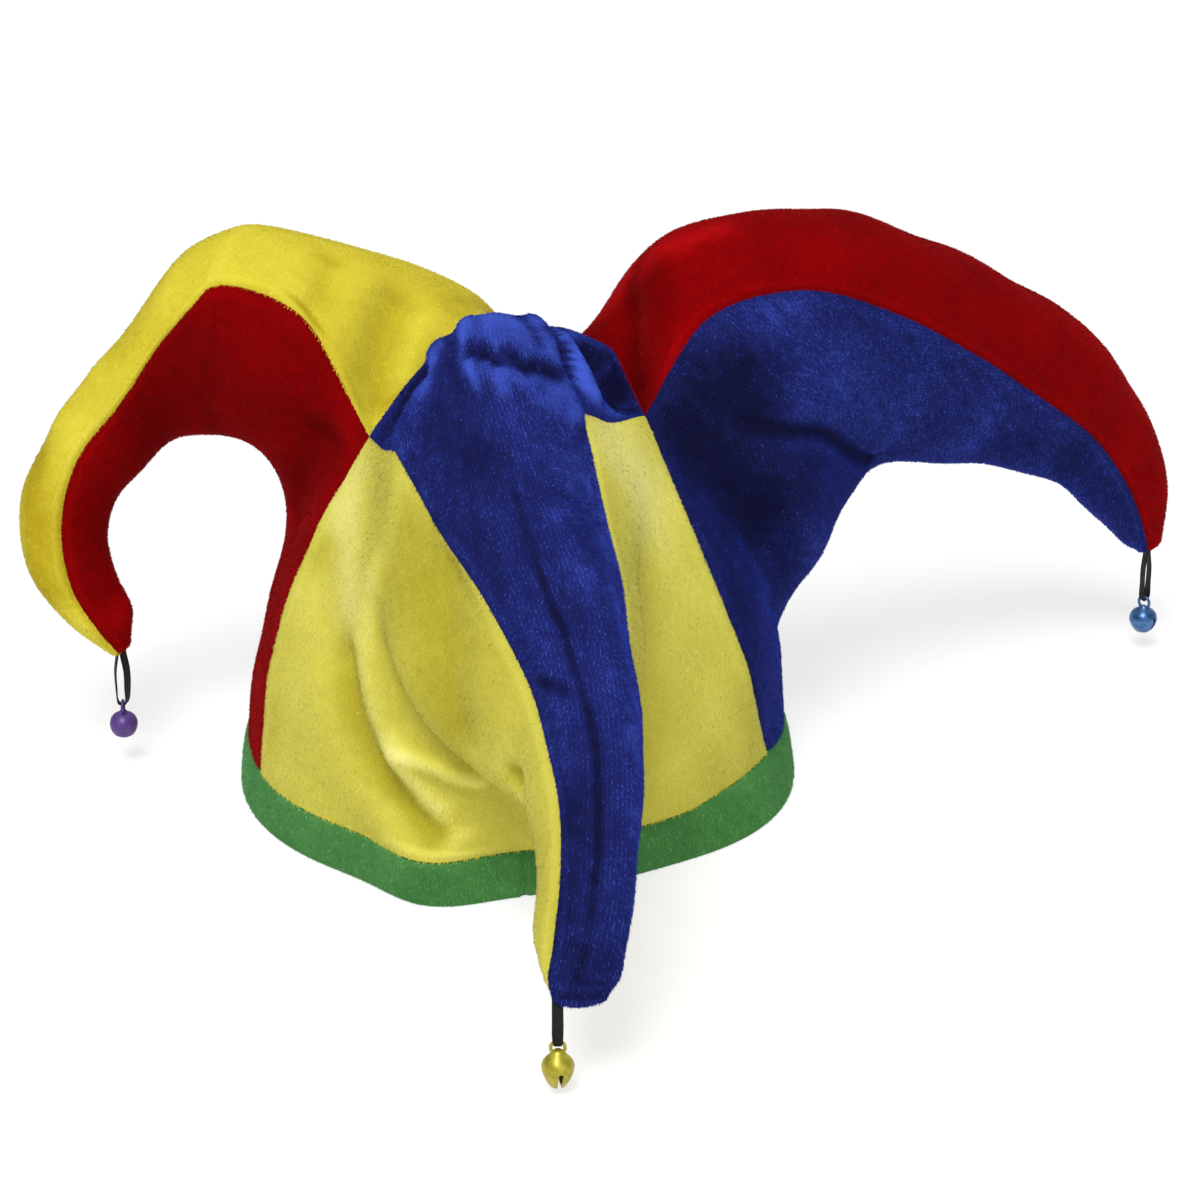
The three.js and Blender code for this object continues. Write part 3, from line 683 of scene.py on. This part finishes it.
def top_seam(name, q):
    """A point of the seam from the crown's top to a junction."""
    puff = SIDE_SEAMS[name]["puff"] * math.sin(math.pi * q ** PUFF_LATE)
    return mix(TOP, junction(name), q) + np.array([0.0, 0.0, puff])


def crown_row(horn, step, c):
    """One row of a crown panel, from side seam to side seam."""
    q = step / len(horn["wall"])
    rim_middle = rim_radius(horn["azimuth"], "top")
    middle = horn["wall"][step - 1] if step else {"reach": rim_middle, "height": CROWN_EDGE}
    start = side_seam(horn["seams"][0], q, horn["azimuth"] - SEAM_SIDE)
    end = side_seam(horn["seams"][1], q, horn["azimuth"] + SEAM_SIDE)
    centring = horn["azimuth"] - (start[0] + end[0]) / 2
    t = (c + 1) / 2
    bulge = np.maximum((1 + np.cos(np.pi * c)) / 2, 0)
    azimuth = mix(start[0], end[0], t) + centring * bulge * q
    reach = mix(mix(start[1], end[1], t), middle["reach"] - rim_middle, bulge ** CHEEK)
    height = mix(mix(start[2], end[2], t), middle["height"], bulge)
    return polar(rim_radius(azimuth, "top") + reach, azimuth, height)


def section(horn, station):
    """A horn's section: its centre, half its depth from keel to ridge, and the way across it."""
    ridge = polar(station["ridge"], horn["azimuth"] + station["ridge_turn"], station["ridge_z"])
    keel = polar(station["keel"], horn["azimuth"] + station["keel_turn"], station["keel_z"])
    side = polar(1.0, horn["azimuth"] + station["ridge_turn"] + 90, 0.0)
    return (ridge + keel) / 2, (ridge - keel) / 2, side


def section_row(horn, station, start, end, c, ahead=0.0, size=1.0):
    """Part of a horn's section: 90 degrees is the ridge, 270 the keel."""
    centre, depth, side = section(horn, station)
    angle = np.radians(mix(start, end, (c + 1) / 2))[:, None]
    width = station["half_width"] * np.cos(angle) * (1 + station["full"] * np.sin(angle))
    return centre + ahead + size * (side * width + depth * np.sin(angle))


def arch_row(a, m, b, c):
    """An arc of an ellipse from a through m to b."""
    wrap = math.radians(TOP_ARCH)
    chord = (b - a) / (2 * math.sin(wrap))
    rise = (m - (a + b) / 2) / (1 - math.cos(wrap))
    return m - rise + np.sin(wrap * c)[:, None] * chord + np.cos(wrap * c)[:, None] * rise


def panel_keys(horn, part, c):
    """Key rows of a panel: the crown or the fan over its top, the stations, and the horn's closed end."""
    if part == "lower":
        rows = [crown_row(horn, step, c) for step in range(len(horn["wall"]) + 1)]
        angles = [(180 - s["seam_a"], 360 + s["seam_b"]) for s in horn["stations"]]
    else:
        a, b = horn["seams"]
        start = horn["ridge_start"]
        m = polar(start["reach"], start["azimuth"], start["height"])
        rows = [arch_row(top_seam(b, q), mix(TOP, m, q), top_seam(a, q), c) for q in TOP_ROWS]
        angles = [(s["seam_b"], 180 - s["seam_a"]) for s in horn["stations"]]
    rows += [section_row(horn, s, *angle, c) for s, angle in zip(horn["stations"], angles)]
    last, before = horn["stations"][-1], horn["stations"][-2]
    way = unit(section(horn, last)[0] - section(horn, before)[0]) * horn["tip_length"]
    end_rows = [section_row(horn, last, *angles[-1], c, way * along, size) for along, size in TIP_ROWS]
    return np.array(rows), np.array(end_rows)


def smooth_rows(keys, c, corners):
    """Rows of a smooth surface through the key rows. At the corner rows only the seams turn a corner."""
    start, end = curve_ends(keys)
    span = np.diff(keys, axis=0)
    through = (1 - c ** SEAM_BEND)[:, None]
    for row in corners:
        start[row] = mix(span[row], start[row], through)
        end[row - 1] = mix(span[row - 1], end[row - 1], through)
    places = np.arange(len(span) * ROWS_PER_SPAN + 1) / ROWS_PER_SPAN
    return curve_points(keys, start, end, places)


def grid_normals(rows):
    return unit(np.cross(np.gradient(rows, axis=1), np.gradient(rows, axis=0)))


def grid_at(grid, r, c):
    """Values of a grid at places between its rows and columns."""
    r0 = np.clip(r.astype(int), 0, grid.shape[0] - 2)
    c0 = np.clip(c.astype(int), 0, grid.shape[1] - 2)
    u, v = (r - r0), (c - c0)
    if grid.ndim == 3:
        u, v = u[..., None], v[..., None]
    near = mix(grid[r0, c0], grid[r0, c0 + 1], v)
    far = mix(grid[r0 + 1, c0], grid[r0 + 1, c0 + 1], v)
    return mix(near, far, u)


def from_seams(rows):
    """Each point's distance from the nearer seam of its panel."""
    to_first = np.linalg.norm(rows - rows[:, :1], axis=-1)
    return np.minimum(to_first, np.linalg.norm(rows - rows[:, -1:], axis=-1))


def seam_fade(rows):
    """1 over most of a panel, falling smoothly to 0 at its seams."""
    fade = np.clip(from_seams(rows) / FOLD_MARGIN, 0, 1)
    return fade * fade * (3 - 2 * fade)


def along_paths(rows, marks):
    """The sum of the marks' values, each one fading away from the mark's path."""
    total = np.zeros(rows.shape[:2])
    t = np.linspace(0, 1, FOLD_SAMPLES)[:, None]
    for path, width, value in marks:
        legs = np.array(path, float)
        route = np.vstack([mix(a, b, t) for a, b in zip(legs[:-1], legs[1:])])
        line = grid_at(rows, route[:, 0] * ROWS_PER_SPAN, (route[:, 1] + 1) / 2 * (rows.shape[1] - 1))
        away = np.full(rows.shape[:2], np.inf)
        for point in line:
            away = np.minimum(away, np.linalg.norm(rows - point, axis=-1))
        total += value * np.exp(-((away / width) ** 2))
    return total


def fold_rise(rows, folds):
    """How far each point of a panel is pushed out by its folds."""
    start = np.clip(np.arange(len(rows)) / (FOLD_START * ROWS_PER_SPAN), 0, 1)[:, None]
    return along_paths(rows, folds) * seam_fade(rows) * start


SEAM_ROLL = 0.8  # the cloth rolls in by this much at a seam
SEAM_ROLL_WIDTH = 3.4
SEAM_ROLL_ROWS = 0.8  # less so in the rows next to a junction, and not at all over the crown's top
WAVE_RISE = 0.45  # slight unevenness of soft cloth
WAVE_LENGTH = 34.0
WAVE_SEED = 5

# Whole forms pulled a little one way: the centre, the reach and the move, in millimetres.
PULLS = table(("centre", "reach", "move"), [
    ((18, 48, 148), 18, (0, 2, -11)),  # behind the right horn's root
    ((31, -43.5, 150.7), 14, (0, -1, -2.4)),  # the flap's hem right of the hump
    ((-41, -43.3, 140.5), 11, (0, -0.5, -1.5)),  # and left of it
])

# Where a panel may be evened out: the row it starts from, the rows over which it comes in and fades out,
# how far a point moves in one round, and how near to the seams, the higher the nearer.
RELAX_START = 0.2
RELAX_IN = 1.2
RELAX_OUT = 2.5
RELAX_PACE = 0.5
RELAX_BREADTH = 24


def relax(rows, c, rounds, last):
    """Evens out the middle of a panel as its cloth is pulled taut between the seams."""
    r = np.arange(len(rows)) / ROWS_PER_SPAN
    hold = np.clip((r - RELAX_START) / RELAX_IN, 0, 1) * np.clip((last - r) / RELAX_OUT, 0, 1)
    free = RELAX_PACE * hold[:, None] * (1 - np.abs(c) ** RELAX_BREADTH)
    for _ in range(rounds):
        middle = rows[1:-1, 1:-1]
        around = rows[:-2, 1:-1] + rows[2:, 1:-1] + rows[1:-1, :-2] + rows[1:-1, 2:]
        change = np.zeros_like(rows)
        change[1:-1, 1:-1] = around / 4 - middle
        rows = rows + change * free[..., None]
    return rows


def panel_surface(horn, part, folds):
    """The outer face of a panel as a grid of points, with the rows of the horn's closed end last."""
    c = np.linspace(-1, 1, LOWER_COLUMNS if part == "lower" else UPPER_COLUMNS)
    keys, end_rows = panel_keys(horn, part, c)
    rows = smooth_rows(keys, c, horn["corners"])
    if part == "lower":
        rows = relax(rows, c, horn["relax_rounds"], horn["relax_end"])
    for pull in PULLS:
        away = np.linalg.norm(rows - pull["centre"], axis=-1, keepdims=True)
        rows = rows + np.array(pull["move"]) * np.exp(-((away / pull["reach"]) ** 2))
    push = fold_rise(rows, folds) + WAVE_RISE * ripple(rows, WAVE_LENGTH, WAVE_SEED)
    from_root = np.arange(len(rows)) / ROWS_PER_SPAN - ROOT_ROW
    if part == "lower":
        from_root = np.abs(from_root)
    roll = SEAM_ROLL * np.clip(from_root / SEAM_ROLL_ROWS, 0, 1)[:, None]
    push -= roll * np.clip(1 - from_seams(rows) / SEAM_ROLL_WIDTH, 0, 1) ** 2
    tip_fade = np.clip((len(rows) - 1 - np.arange(len(rows))) / ROWS_PER_SPAN, 0, 1)[:, None]
    rows = rows + grid_normals(rows) * (push * tip_fade)[..., None]
    return np.concatenate([rows, end_rows])


def wall_faces(height, width):
    """Faces of a closed wall of two grids, the fine outer one first and then the coarser inner one."""
    outer = numbered(height, width)
    inner = numbered((height - 1) // INNER_ROWS + 1, (width - 1) // INNER_COLUMNS + 1) + outer.size

    def rim(fine, coarse, step, flip):
        made = []
        for k in range(len(coarse) - 1):
            ring = [*fine[k * step:(k + 1) * step + 1], coarse[k + 1], coarse[k]]
            made.append([int(i) for i in (reversed(ring) if flip else ring)])
        return made

    return [
        *grid_faces(outer),
        *grid_faces(inner.T),
        *rim(outer[:, 0], inner[:, 0], INNER_ROWS, False),
        *rim(outer[:, -1], inner[:, -1], INNER_ROWS, True),
        *rim(outer[0], inner[0], INNER_COLUMNS, True),
        *rim(outer[-1], inner[-1], INNER_COLUMNS, False),
    ]


# Pile

PILE_DENSITY = 4.2  # fibres to a square millimetre
MAX_FIBRES = 190000  # the most in one piece
PILE_LENGTH = 1.15
LENGTH_SPREAD = (0.6, 1.15)  # the shortest and the longest, as shares of that
PILE_WIDTH = 0.3
PILE_LEAN = 2.6  # how far the fibres lean along the nap
LEAN_SPREAD = (0.5, 1.2)  # the least and the most, as shares of that
PILE_STRAY = 0.3  # how far each strays from its lean
PILE_RISE = 0.25  # how steeply it rises from the cloth at least
PILE_TURN = 0.3  # how far its flat side turns from the cloth
NAP_ALONG = 0.35  # the nap runs downhill, and this much along the panel
RIB_PITCH = 1.45  # the knit's ribs
PATCH_LENGTH = 22.0  # patches where the pile lies another way
PATCH_SEED = 21
FINE_PATCHES = 0.7  # how strong the finer patches in them are
FINE_PARTS = 5  # and how many times shorter
FINE_SEED = 22
PILE_SEED = 100  # seed of the first panel's pile
BAND_SEED = 131
SHADE_STRAY = 0.16  # how far a fibre's shading strays from the cloth's
SHADE_LEAN = 0.15  # and how far it follows the fibre
BAKE_MARGIN = 0.01  # share of a baked picture left free at each side
BAKE_SIZE = 0.6  # a fibre's size in it, in cells of its grid
BAKE_CORNERS = ((-0.5, -0.4), (0.5, -0.4), (0.0, 0.6))

BASE_TONE = 0.42
TIP_TONE = 0.12  # a fibre's tip is this much paler than its middle, and its root darker
PILE_SPARKLE = 0.4  # how much paler the few fibres are that catch the light
PAINTED_CREASE_LIGHT = 0.28  # painted highlight on a fold's ridge, this much paler, and painted shade in its hollow, this much darker
CREASE_REACH = 6.0  # in millimetres, the bend's radius where that is nearly full


def painted_crease_light(rows):
    """Painted light from the bend of a grid: above 0 on ridges, a painted highlight, below 0 in hollows,
    painted shade.
    """
    normals = grid_normals(rows)
    bend = np.zeros(rows.shape[:2])
    for axis in (0, 1):
        step = np.gradient(rows, axis=axis)
        turn = np.gradient(normals, axis=axis)
        bend += np.sum(step * turn, -1) / np.maximum(np.sum(step * step, -1), 0.01)
    return PAINTED_CREASE_LIGHT * np.tanh(bend * CREASE_REACH)


def cloth_tone(points, patches):
    """Tone of the pile from 0, its roots' colour, to 1, with its brushed patches."""
    fine = FINE_PATCHES * ripple(points, PATCH_LENGTH / FINE_PARTS, FINE_SEED)
    return BASE_TONE + patches * (ripple(points, PATCH_LENGTH, PATCH_SEED) + fine)


def lay_fibres(rows, draw):
    """Short fibres all over a grid's outer face: the place of each in the grid, its root and tip, half its
    flat side, the cloth's normal there, and the way it points."""
    a, b, c, d = rows[:-1, :-1], rows[:-1, 1:], rows[1:, 1:], rows[1:, :-1]
    area = np.linalg.norm(np.cross(c - a, d - b), axis=-1).ravel() / 2
    count = min(int(area.sum() * PILE_DENSITY), MAX_FIBRES)
    pick = draw.choice(len(area), count, p=area / area.sum())
    r = pick // (rows.shape[1] - 1) + draw.random(count)
    col = pick % (rows.shape[1] - 1) + draw.random(count)
    root = grid_at(rows, r, col)
    normal = unit(grid_at(grid_normals(rows), r, col))
    down = normal * normal[:, 2:] - [0, 0, 1]
    nap = unit(down + NAP_ALONG * grid_at(unit(np.gradient(rows, axis=0)), r, col))
    stray = draw.normal(size=(count, 3)) * PILE_STRAY
    way = unit(normal + PILE_LEAN * nap * draw.uniform(*LEAN_SPREAD, (count, 1)) + stray)
    way = unit(way + normal * np.maximum(PILE_RISE - np.sum(way * normal, -1, keepdims=True), 0))
    side = unit(np.cross(normal + PILE_TURN * draw.normal(size=(count, 3)), way))
    side *= np.sign(np.sum(np.cross(side, way) * normal, -1, keepdims=True)) * PILE_WIDTH / 2
    length = PILE_LENGTH * draw.uniform(*LENGTH_SPREAD, (count, 1))
    tip = root + way * length
    return {"r": r, "col": col, "root": root, "tip": tip, "side": side, "normal": normal, "way": way}


def fibre_tones(fibres, rows, painted_light_and_brushing, cloth, draw):
    """Tones at the corners of each fibre, the tip's last."""
    r, col, count = fibres["r"], fibres["col"], len(fibres["r"])
    strides = np.linalg.norm(np.diff(rows, axis=1), axis=-1)
    across = np.concatenate([np.zeros((len(rows), 1)), np.cumsum(strides, 1)], 1)
    across -= across[:, across.shape[1] // 2, None]
    ribs = cloth["ribs"] * np.cos(2 * np.pi * grid_at(across, r, col) / RIB_PITCH)
    # the painted highlights and painted shade of the folds and marks join the fibre's tone here
    tone = cloth_tone(fibres["root"], cloth["patches"]) + grid_at(painted_light_and_brushing, r, col) + ribs
    tone += draw.normal(size=count) * cloth["grain"]
    tone = np.where(draw.random(count) < cloth["sparkle"], tone + PILE_SPARKLE, tone)
    return np.clip(np.stack([tone - TIP_TONE, tone - TIP_TONE, tone + TIP_TONE], 1), 0, 1)


def bake_places(fibres, height, width):
    """Each fibre's corners in a baked picture, near its place in the grid."""
    place = np.stack([fibres["col"] / (width - 1), fibres["r"] / (height - 1)], 1)
    corners = np.array(BAKE_CORNERS) * (BAKE_SIZE / np.array([width, height]))
    return np.clip(place[:, None] * (1 - 2 * BAKE_MARGIN) + BAKE_MARGIN + corners, 0, 1)


def grow_pile(name, rows, painted_light_and_brushing, material, cloth, seed, lowest=None):
    """The pile on a grid's outer face, as one mesh of slim triangles. Fibres that reach below lowest are
    left out."""
    draw = np.random.default_rng(seed)
    fibres = lay_fibres(rows, draw)
    if lowest is not None:
        kept = fibres["tip"][:, 2] > lowest
        fibres = {key: values[kept] for key, values in fibres.items()}
    root, side, count = fibres["root"], fibres["side"], len(fibres["root"])
    points = np.stack([root - side, root + side, fibres["tip"]], 1).reshape(-1, 3)
    made = add_mesh(name, points, np.arange(3 * count).reshape(-1, 3).tolist(), material)
    put_value(made.data, "tone", fibre_tones(fibres, rows, painted_light_and_brushing, cloth, draw).ravel())
    stray = SHADE_STRAY * draw.normal(size=(count, 3))
    shaded = unit(fibres["normal"] + stray + SHADE_LEAN * fibres["way"])
    made.data.normals_split_custom_set_from_vertices(np.repeat(shaded, 3, axis=0))
    places = bake_places(fibres, *rows.shape[:2]).ravel().astype(np.float32)
    made.data.uv_layers.new(name="OFBake").data.foreach_set("uv", places)
    made.visible_shadow = False
    made.visible_diffuse = False
    return made


PANELS = {
    "lower_front": ("yellow", "plush_yellow"),
    "lower_left": ("red", "plush_red"),
    "lower_right": ("blue", "plush_blue"),
    "upper_front": ("blue", "plush_blue"),
    "upper_left": ("gold", "plush_yellow"),
    "upper_right": ("red", "plush_red"),
}
# How strong the knit's ribs, the brushed patches and the grain show in each cloth, and the share of the
# fibres that catch the light.
CLOTHS = named_table(("ribs", "patches", "grain", "sparkle"), {
    "yellow": (0.03, 0.03, 0.07, 0.008),
    "gold": (0.02, 0.03, 0.07, 0.01),
    "red": (0.06, 0.04, 0.07, 0.01),
    "blue": (0.14, 0.07, 0.1, 0.03),
    "green": (0.04, 0.05, 0.1, 0.04),
})

TIP_THINNING = 2  # a horn's wall thins out over this many of its last stations
THIN_REACH = 4.0  # in millimetres, the width along a seam where a wall is thin at a junction
THIN_ROWS = 1.8  # and the rows to each side of the junction
THIN_WALL = 0.06  # share of the wall's thickness there


def wall_thickness(rows):
    """Thickness of a panel's wall: less at the tip, and where three panels meet at sharp angles."""
    place = np.arange(len(rows)) / ROWS_PER_SPAN
    along = mix(TIP_CLOTH, CLOTH, np.clip((place[-1] - place) / TIP_THINNING, 0, 1))
    at_junction = np.sqrt(np.clip(1 - np.abs(place - ROOT_ROW) / THIN_ROWS, 0, 1))[:, None]
    thinned = at_junction * np.exp(-((from_seams(rows) / THIN_REACH) ** 2))
    return along[:, None] * mix(1.0, THIN_WALL, thinned)


def make_panel(name, seed):
    colour, slot = PANELS[name]
    part, side = name.split("_")
    rows = panel_surface(HORNS[side], part, FOLDS[name])
    thickness = wall_thickness(rows)
    ends = len(TIP_ROWS)
    normals = grid_normals(rows)
    if part == "lower":
        level = normals[0].copy()
        level[:, 2] = 0
        normals[0] = unit(level)
    inner = rows - normals * thickness[..., None]
    keep = np.array(TIP_INSIDE)[:, None, None]
    middle = rows[-ends:].mean(1, keepdims=True)
    inner[-ends:] = mix(middle, rows[-ends:], keep) - TIP_BACK * (middle[-1] - middle[0])
    inner = inner[::INNER_ROWS, ::INNER_COLUMNS]
    points = np.concatenate([rows.reshape(-1, 3), inner.reshape(-1, 3)])
    cloth = add_mesh(f"{name}_cloth", points, wall_faces(*rows.shape[:2]), GROUND[colour], CLOTH_EDGE)
    # painted highlight on fold ridges, painted shade in hollows, and the painted light and brushed marks,
    # as one tone
    painted_light_and_brushing = painted_crease_light(rows) * seam_fade(rows) + along_paths(rows, BRUSHED_AND_PAINTED_LIGHT[name])
    tone = cloth_tone(points, CLOTHS[colour]["patches"]) - TIP_TONE
    tone[:painted_light_and_brushing.size] += painted_light_and_brushing.ravel()
    put_value(cloth.data, "tone", np.clip(tone, 0, 1))
    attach(cloth, "hat")
    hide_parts(name)
    pile = grow_pile(f"{name}_pile", rows, painted_light_and_brushing, PILE[colour], CLOTHS[colour], seed)
    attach(pile, "hat")


for number, name in enumerate(PANELS):
    make_panel(name, PILE_SEED + number)

# Band

# The band's section, round under the hem, up outside and down inside: how far out from the rim, and height
BAND_PROFILE = table(("out", "height"), [
    (-2.3, 1.0), (-1.9, 0.3), (-1.2, 0.0), (-0.3, 0.0), (0.4, 0.5), (0.8, 1.6),
    (1.0, 4.5), (1.1, 8.0), (1.0, 12.0), (0.7, 14.8), (0.2, 16.3), (-0.6, 17.0),
    (-1.5, 17.1), (-2.2, 16.5), (-2.4, 12.0), (-2.4, 5.0),
])
BAND_RINGS = 300
BAND_OUTSIDE = (3, 12)  # the rows of the profile that carry pile
JOIN_AZIMUTH = 272.5  # where the band's two ends are sewn together
JOIN_DEPTH = 1.3
JOIN_WIDTH = 0.9
JOIN_INNER = -1.0  # further in than this, the band is left whole
PILE_LOWEST = 0.1  # the band's pile stays this high above the floor


def band_grid(refine):
    """Rows of the band round its profile, refine of them from each point to the next."""
    azimuth = np.arange(BAND_RINGS + 1) * 360 / BAND_RINGS
    profile = [*BAND_PROFILE, BAND_PROFILE[0]]
    place = np.arange((len(profile) - 1) * refine + 1) / refine
    out = np.interp(place, range(len(profile)), [p["out"] for p in profile])
    height = np.interp(place, range(len(profile)), [p["height"] for p in profile])
    rise = (height / BAND_HEIGHT)[:, None]
    rim = mix(rim_radius(azimuth, "hem"), rim_radius(azimuth, "top"), rise)
    away = np.radians(nearest(azimuth, JOIN_AZIMUTH) - JOIN_AZIMUTH) * RIM_RADIUS
    groove = JOIN_DEPTH * np.exp(-((away / JOIN_WIDTH) ** 2)) * (out > JOIN_INNER)[:, None]
    return polar(rim + out[:, None] - groove, azimuth, height[:, None])


def make_band():
    rows = band_grid(2)[:-1, :-1]
    points = rows.reshape(-1, 3)
    faces = grid_faces(numbered(*rows.shape[:2], round_rows=1, round_columns=1))
    band = add_mesh("band_cloth", points, faces, GROUND["green"], BAND_EDGE)
    tone = cloth_tone(points, CLOTHS["green"]["patches"]) - TIP_TONE
    put_value(band.data, "tone", np.clip(tone, 0, 1))
    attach(band, "hat")
    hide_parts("band")
    outside = band_grid(1)[slice(*BAND_OUTSIDE)]
    flat = np.zeros(outside.shape[:2])
    pile = grow_pile("band_pile", outside, flat, PILE["green"], CLOTHS["green"], BAND_SEED, PILE_LOWEST)
    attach(pile, "hat")


make_band()

# Bells

BELL_SIDES = 56
BELL_NECK = 3  # the first points of a profile, which stay solid
HOLLOW_SIDES = 40
HOLLOW_LEAST = 0.3  # the hollow's smallest radius
ROD_SIDES = 24  # of the tool for the hole at the slot's end
TOOL_LENGTH = 20.0  # long enough to cut right through a bell
# Outlines from the neck to the bottom: the radius, and how far below the top it is.
BELL_PROFILES = {
    "left": table(("radius", "below"), [
        (0.7, -1.5), (1.1, -0.8), (1.6, -0.2), (2.4, 0.25), (3.4, 0.9), (4.2, 1.8), (4.65, 3.0),
        (4.75, 4.2), (4.6, 5.4), (4.15, 6.6), (3.4, 7.7), (2.3, 8.4), (1.2, 8.6),
    ]),
    "front": table(("radius", "below"), [
        (1.3, -1.3), (1.9, -0.7), (2.4, 0.0), (3.0, 0.7), (3.9, 1.6), (4.6, 2.6), (4.95, 3.8), (4.85, 5.0),
        (4.5, 6.3), (3.95, 7.7), (3.3, 9.0), (2.7, 10.0), (2.3, 10.5), (1.2, 10.7),
    ]),
    "right": table(("radius", "below"), [
        (1.0, -0.8), (1.5, -0.2), (2.5, 0.3), (3.7, 1.1), (4.6, 2.3), (5.0, 3.7), (4.9, 4.9), (4.4, 6.3),
        (3.7, 7.5), (2.9, 8.5), (2.2, 8.9), (1.2, 9.0),
    ]),
}


def lathe(profile, sides):
    """Points and faces of a closed turned solid from (radius, height) pairs, top to bottom."""
    angle = np.arange(sides) * 2 * np.pi / sides
    x, y = np.cos(angle), np.sin(angle)
    rings = [np.stack([radius * x, radius * y, np.full(sides, z)], 1) for radius, z in profile]
    points = np.concatenate([*rings, [[0, 0, profile[0][1]], [0, 0, profile[-1][1]]]])
    top, bottom = len(points) - 2, len(points) - 1
    index = numbered(len(profile), sides, round_columns=1)
    faces = grid_faces(index.T)
    for here, ahead in zip(index[0, :-1].tolist(), index[0, 1:].tolist()):
        faces.append((top, here, ahead))
    for here, ahead in zip(index[-1, :-1].tolist(), index[-1, 1:].tolist()):
        faces.append((bottom, ahead, here))
    return points, faces


def torus(major, minor, drop, sides=40, wire=14):
    """A ring round the X axis, its centre drop below the origin."""
    turn = np.arange(sides) * 2 * np.pi / sides
    round_wire = np.arange(wire) * 2 * np.pi / wire
    reach = major + minor * np.cos(round_wire)[None, :]
    points = np.stack([
        np.broadcast_to(minor * np.sin(round_wire)[None, :], (sides, wire)),
        reach * np.cos(turn)[:, None],
        reach * np.sin(turn)[:, None] - drop,
    ], -1).reshape(-1, 3)
    return points, grid_faces(numbered(sides, wire, round_rows=1, round_columns=1))


def tool_object(name, points, faces):
    return new_object(name, new_mesh(name, np.asarray(points) / 1000, faces))


def box_solid(length, width, height):
    x, y, z = length / 2, width / 2, height / 2
    points = [(i, j, k) for i in (-x, x) for j in (-y, y) for k in (-z, z)]
    faces = [(0, 1, 3, 2), (4, 6, 7, 5), (0, 4, 5, 1), (2, 3, 7, 6), (0, 2, 6, 4), (1, 5, 7, 3)]
    return np.array(points, float), faces


def make_bell(side):
    hanger = HANGERS[side]
    profile = BELL_PROFILES[side]
    height = profile[-1]["below"]
    floor = -BELL_TOP - height
    middle = -BELL_TOP - height / 2
    outer = [(p["radius"], -BELL_TOP - p["below"]) for p in profile]
    closer = 1 - BELL_WALL / (height / 2)
    hollow = [
        (max(radius - BELL_WALL, HOLLOW_LEAST), mix(middle, z, closer)) for radius, z in outer[BELL_NECK:]
    ]
    slot_points, slot_faces = box_solid(TOOL_LENGTH, SLOT_WIDTH, 2 * SLOT_HEIGHT)
    slot_points = turned_about_z(slot_points, hanger["slot"]) + [0, 0, floor]
    rod, rod_faces = lathe([(SLOT_END, TOOL_LENGTH / 2), (SLOT_END, -TOOL_LENGTH / 2)], ROD_SIDES)
    rod = turned_about_z(rod[:, [2, 1, 0]] * [1, -1, 1], hanger["slot"]) + [0, 0, floor + SLOT_HEIGHT]
    bell = tool_object(f"bell_{side}_shell", *lathe(outer, BELL_SIDES))
    tools = [
        ("UNION", tool_object("ring", *torus(RING_HOLE + RING_WIRE, RING_WIRE, RING_HANG))),
        ("DIFFERENCE", tool_object("hollow", *lathe(hollow, HOLLOW_SIDES))),
        ("DIFFERENCE", tool_object("slot", slot_points, slot_faces)),
        ("DIFFERENCE", tool_object("rod", rod, rod_faces)),
    ]
    for operation, tool in tools:
        cut = bell.modifiers.new(tool.name, "BOOLEAN")
        cut.operation = operation
        cut.solver = "EXACT"
        cut.object = tool
    evaluated = bell.evaluated_get(bpy.context.evaluated_depsgraph_get())
    shaped = bpy.data.meshes.new_from_object(evaluated)
    bell.modifiers.clear()
    for _, tool in tools:
        bpy.data.objects.remove(tool)
    face = Matrix.Rotation(math.radians(hanger["face"]), 4, "Z")
    shaped.transform(Matrix.Translation(to_frame(pivot_of(hanger))) @ face)
    shaped.materials.clear()
    finish_mesh(shaped, BELLS[side], BELL_EDGE)
    bell.data = shaped
    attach(bell, f"{side}_jingle")
    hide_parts(f"bell_{side}")


for side in HANGERS:
    make_bell(side)

# Floor and light

FLOOR_SIZE = 12.0  # in metres
FLOOR_DROP = 0.0002  # the floor lies this far below the hat
floor_points = np.array([(-1, -1, 0), (1, -1, 0), (1, 1, 0), (-1, 1, 0)], float) * FLOOR_SIZE / 2
floor_mesh = new_mesh("floor", floor_points - [0, 0, FLOOR_DROP], [(0, 1, 2, 3)])
floor_material, _, _, floor_shader = new_material("floor_paper")
set_inputs(floor_shader, {
    "Base Color": (0.32, 0.32, 0.32, 1.0),
    "Roughness": 0.9,
    "Specular IOR Level": 0.1,
    "Emission Color": (1.0, 1.0, 1.0, 1.0),
    "Emission Strength": 0.72,
})
floor_mesh.materials.append(floor_material)
floor = new_object("floor", floor_mesh)

world = bpy.data.worlds.new("studio")
bpy.context.scene.world = world
world.use_nodes = True
set_inputs(world.node_tree.nodes["Background"], {"Color": (1.0, 1.0, 1.0, 1.0), "Strength": 0.2})

LAMPS = table(("name", "toward", "spread", "strength"), [
    ("key", (-0.2, -0.7, 1.2), 25, 3.0),
    ("fill", (0.4, -1.0, 0.4), 60, 0.3),
    ("back", (0.3, 1.0, 0.7), 80, 0.6),
])
for lamp in LAMPS:
    light = bpy.data.lights.new(lamp["name"], "SUN")
    light.angle = math.radians(lamp["spread"])
    light.energy = lamp["strength"]
    holder = new_object(lamp["name"], light)
    holder.location = lamp["toward"]
    holder.rotation_euler = Vector(lamp["toward"]).to_track_quat("Z", "Y").to_euler()

bpy.context.scene.view_settings.view_transform = "Standard"
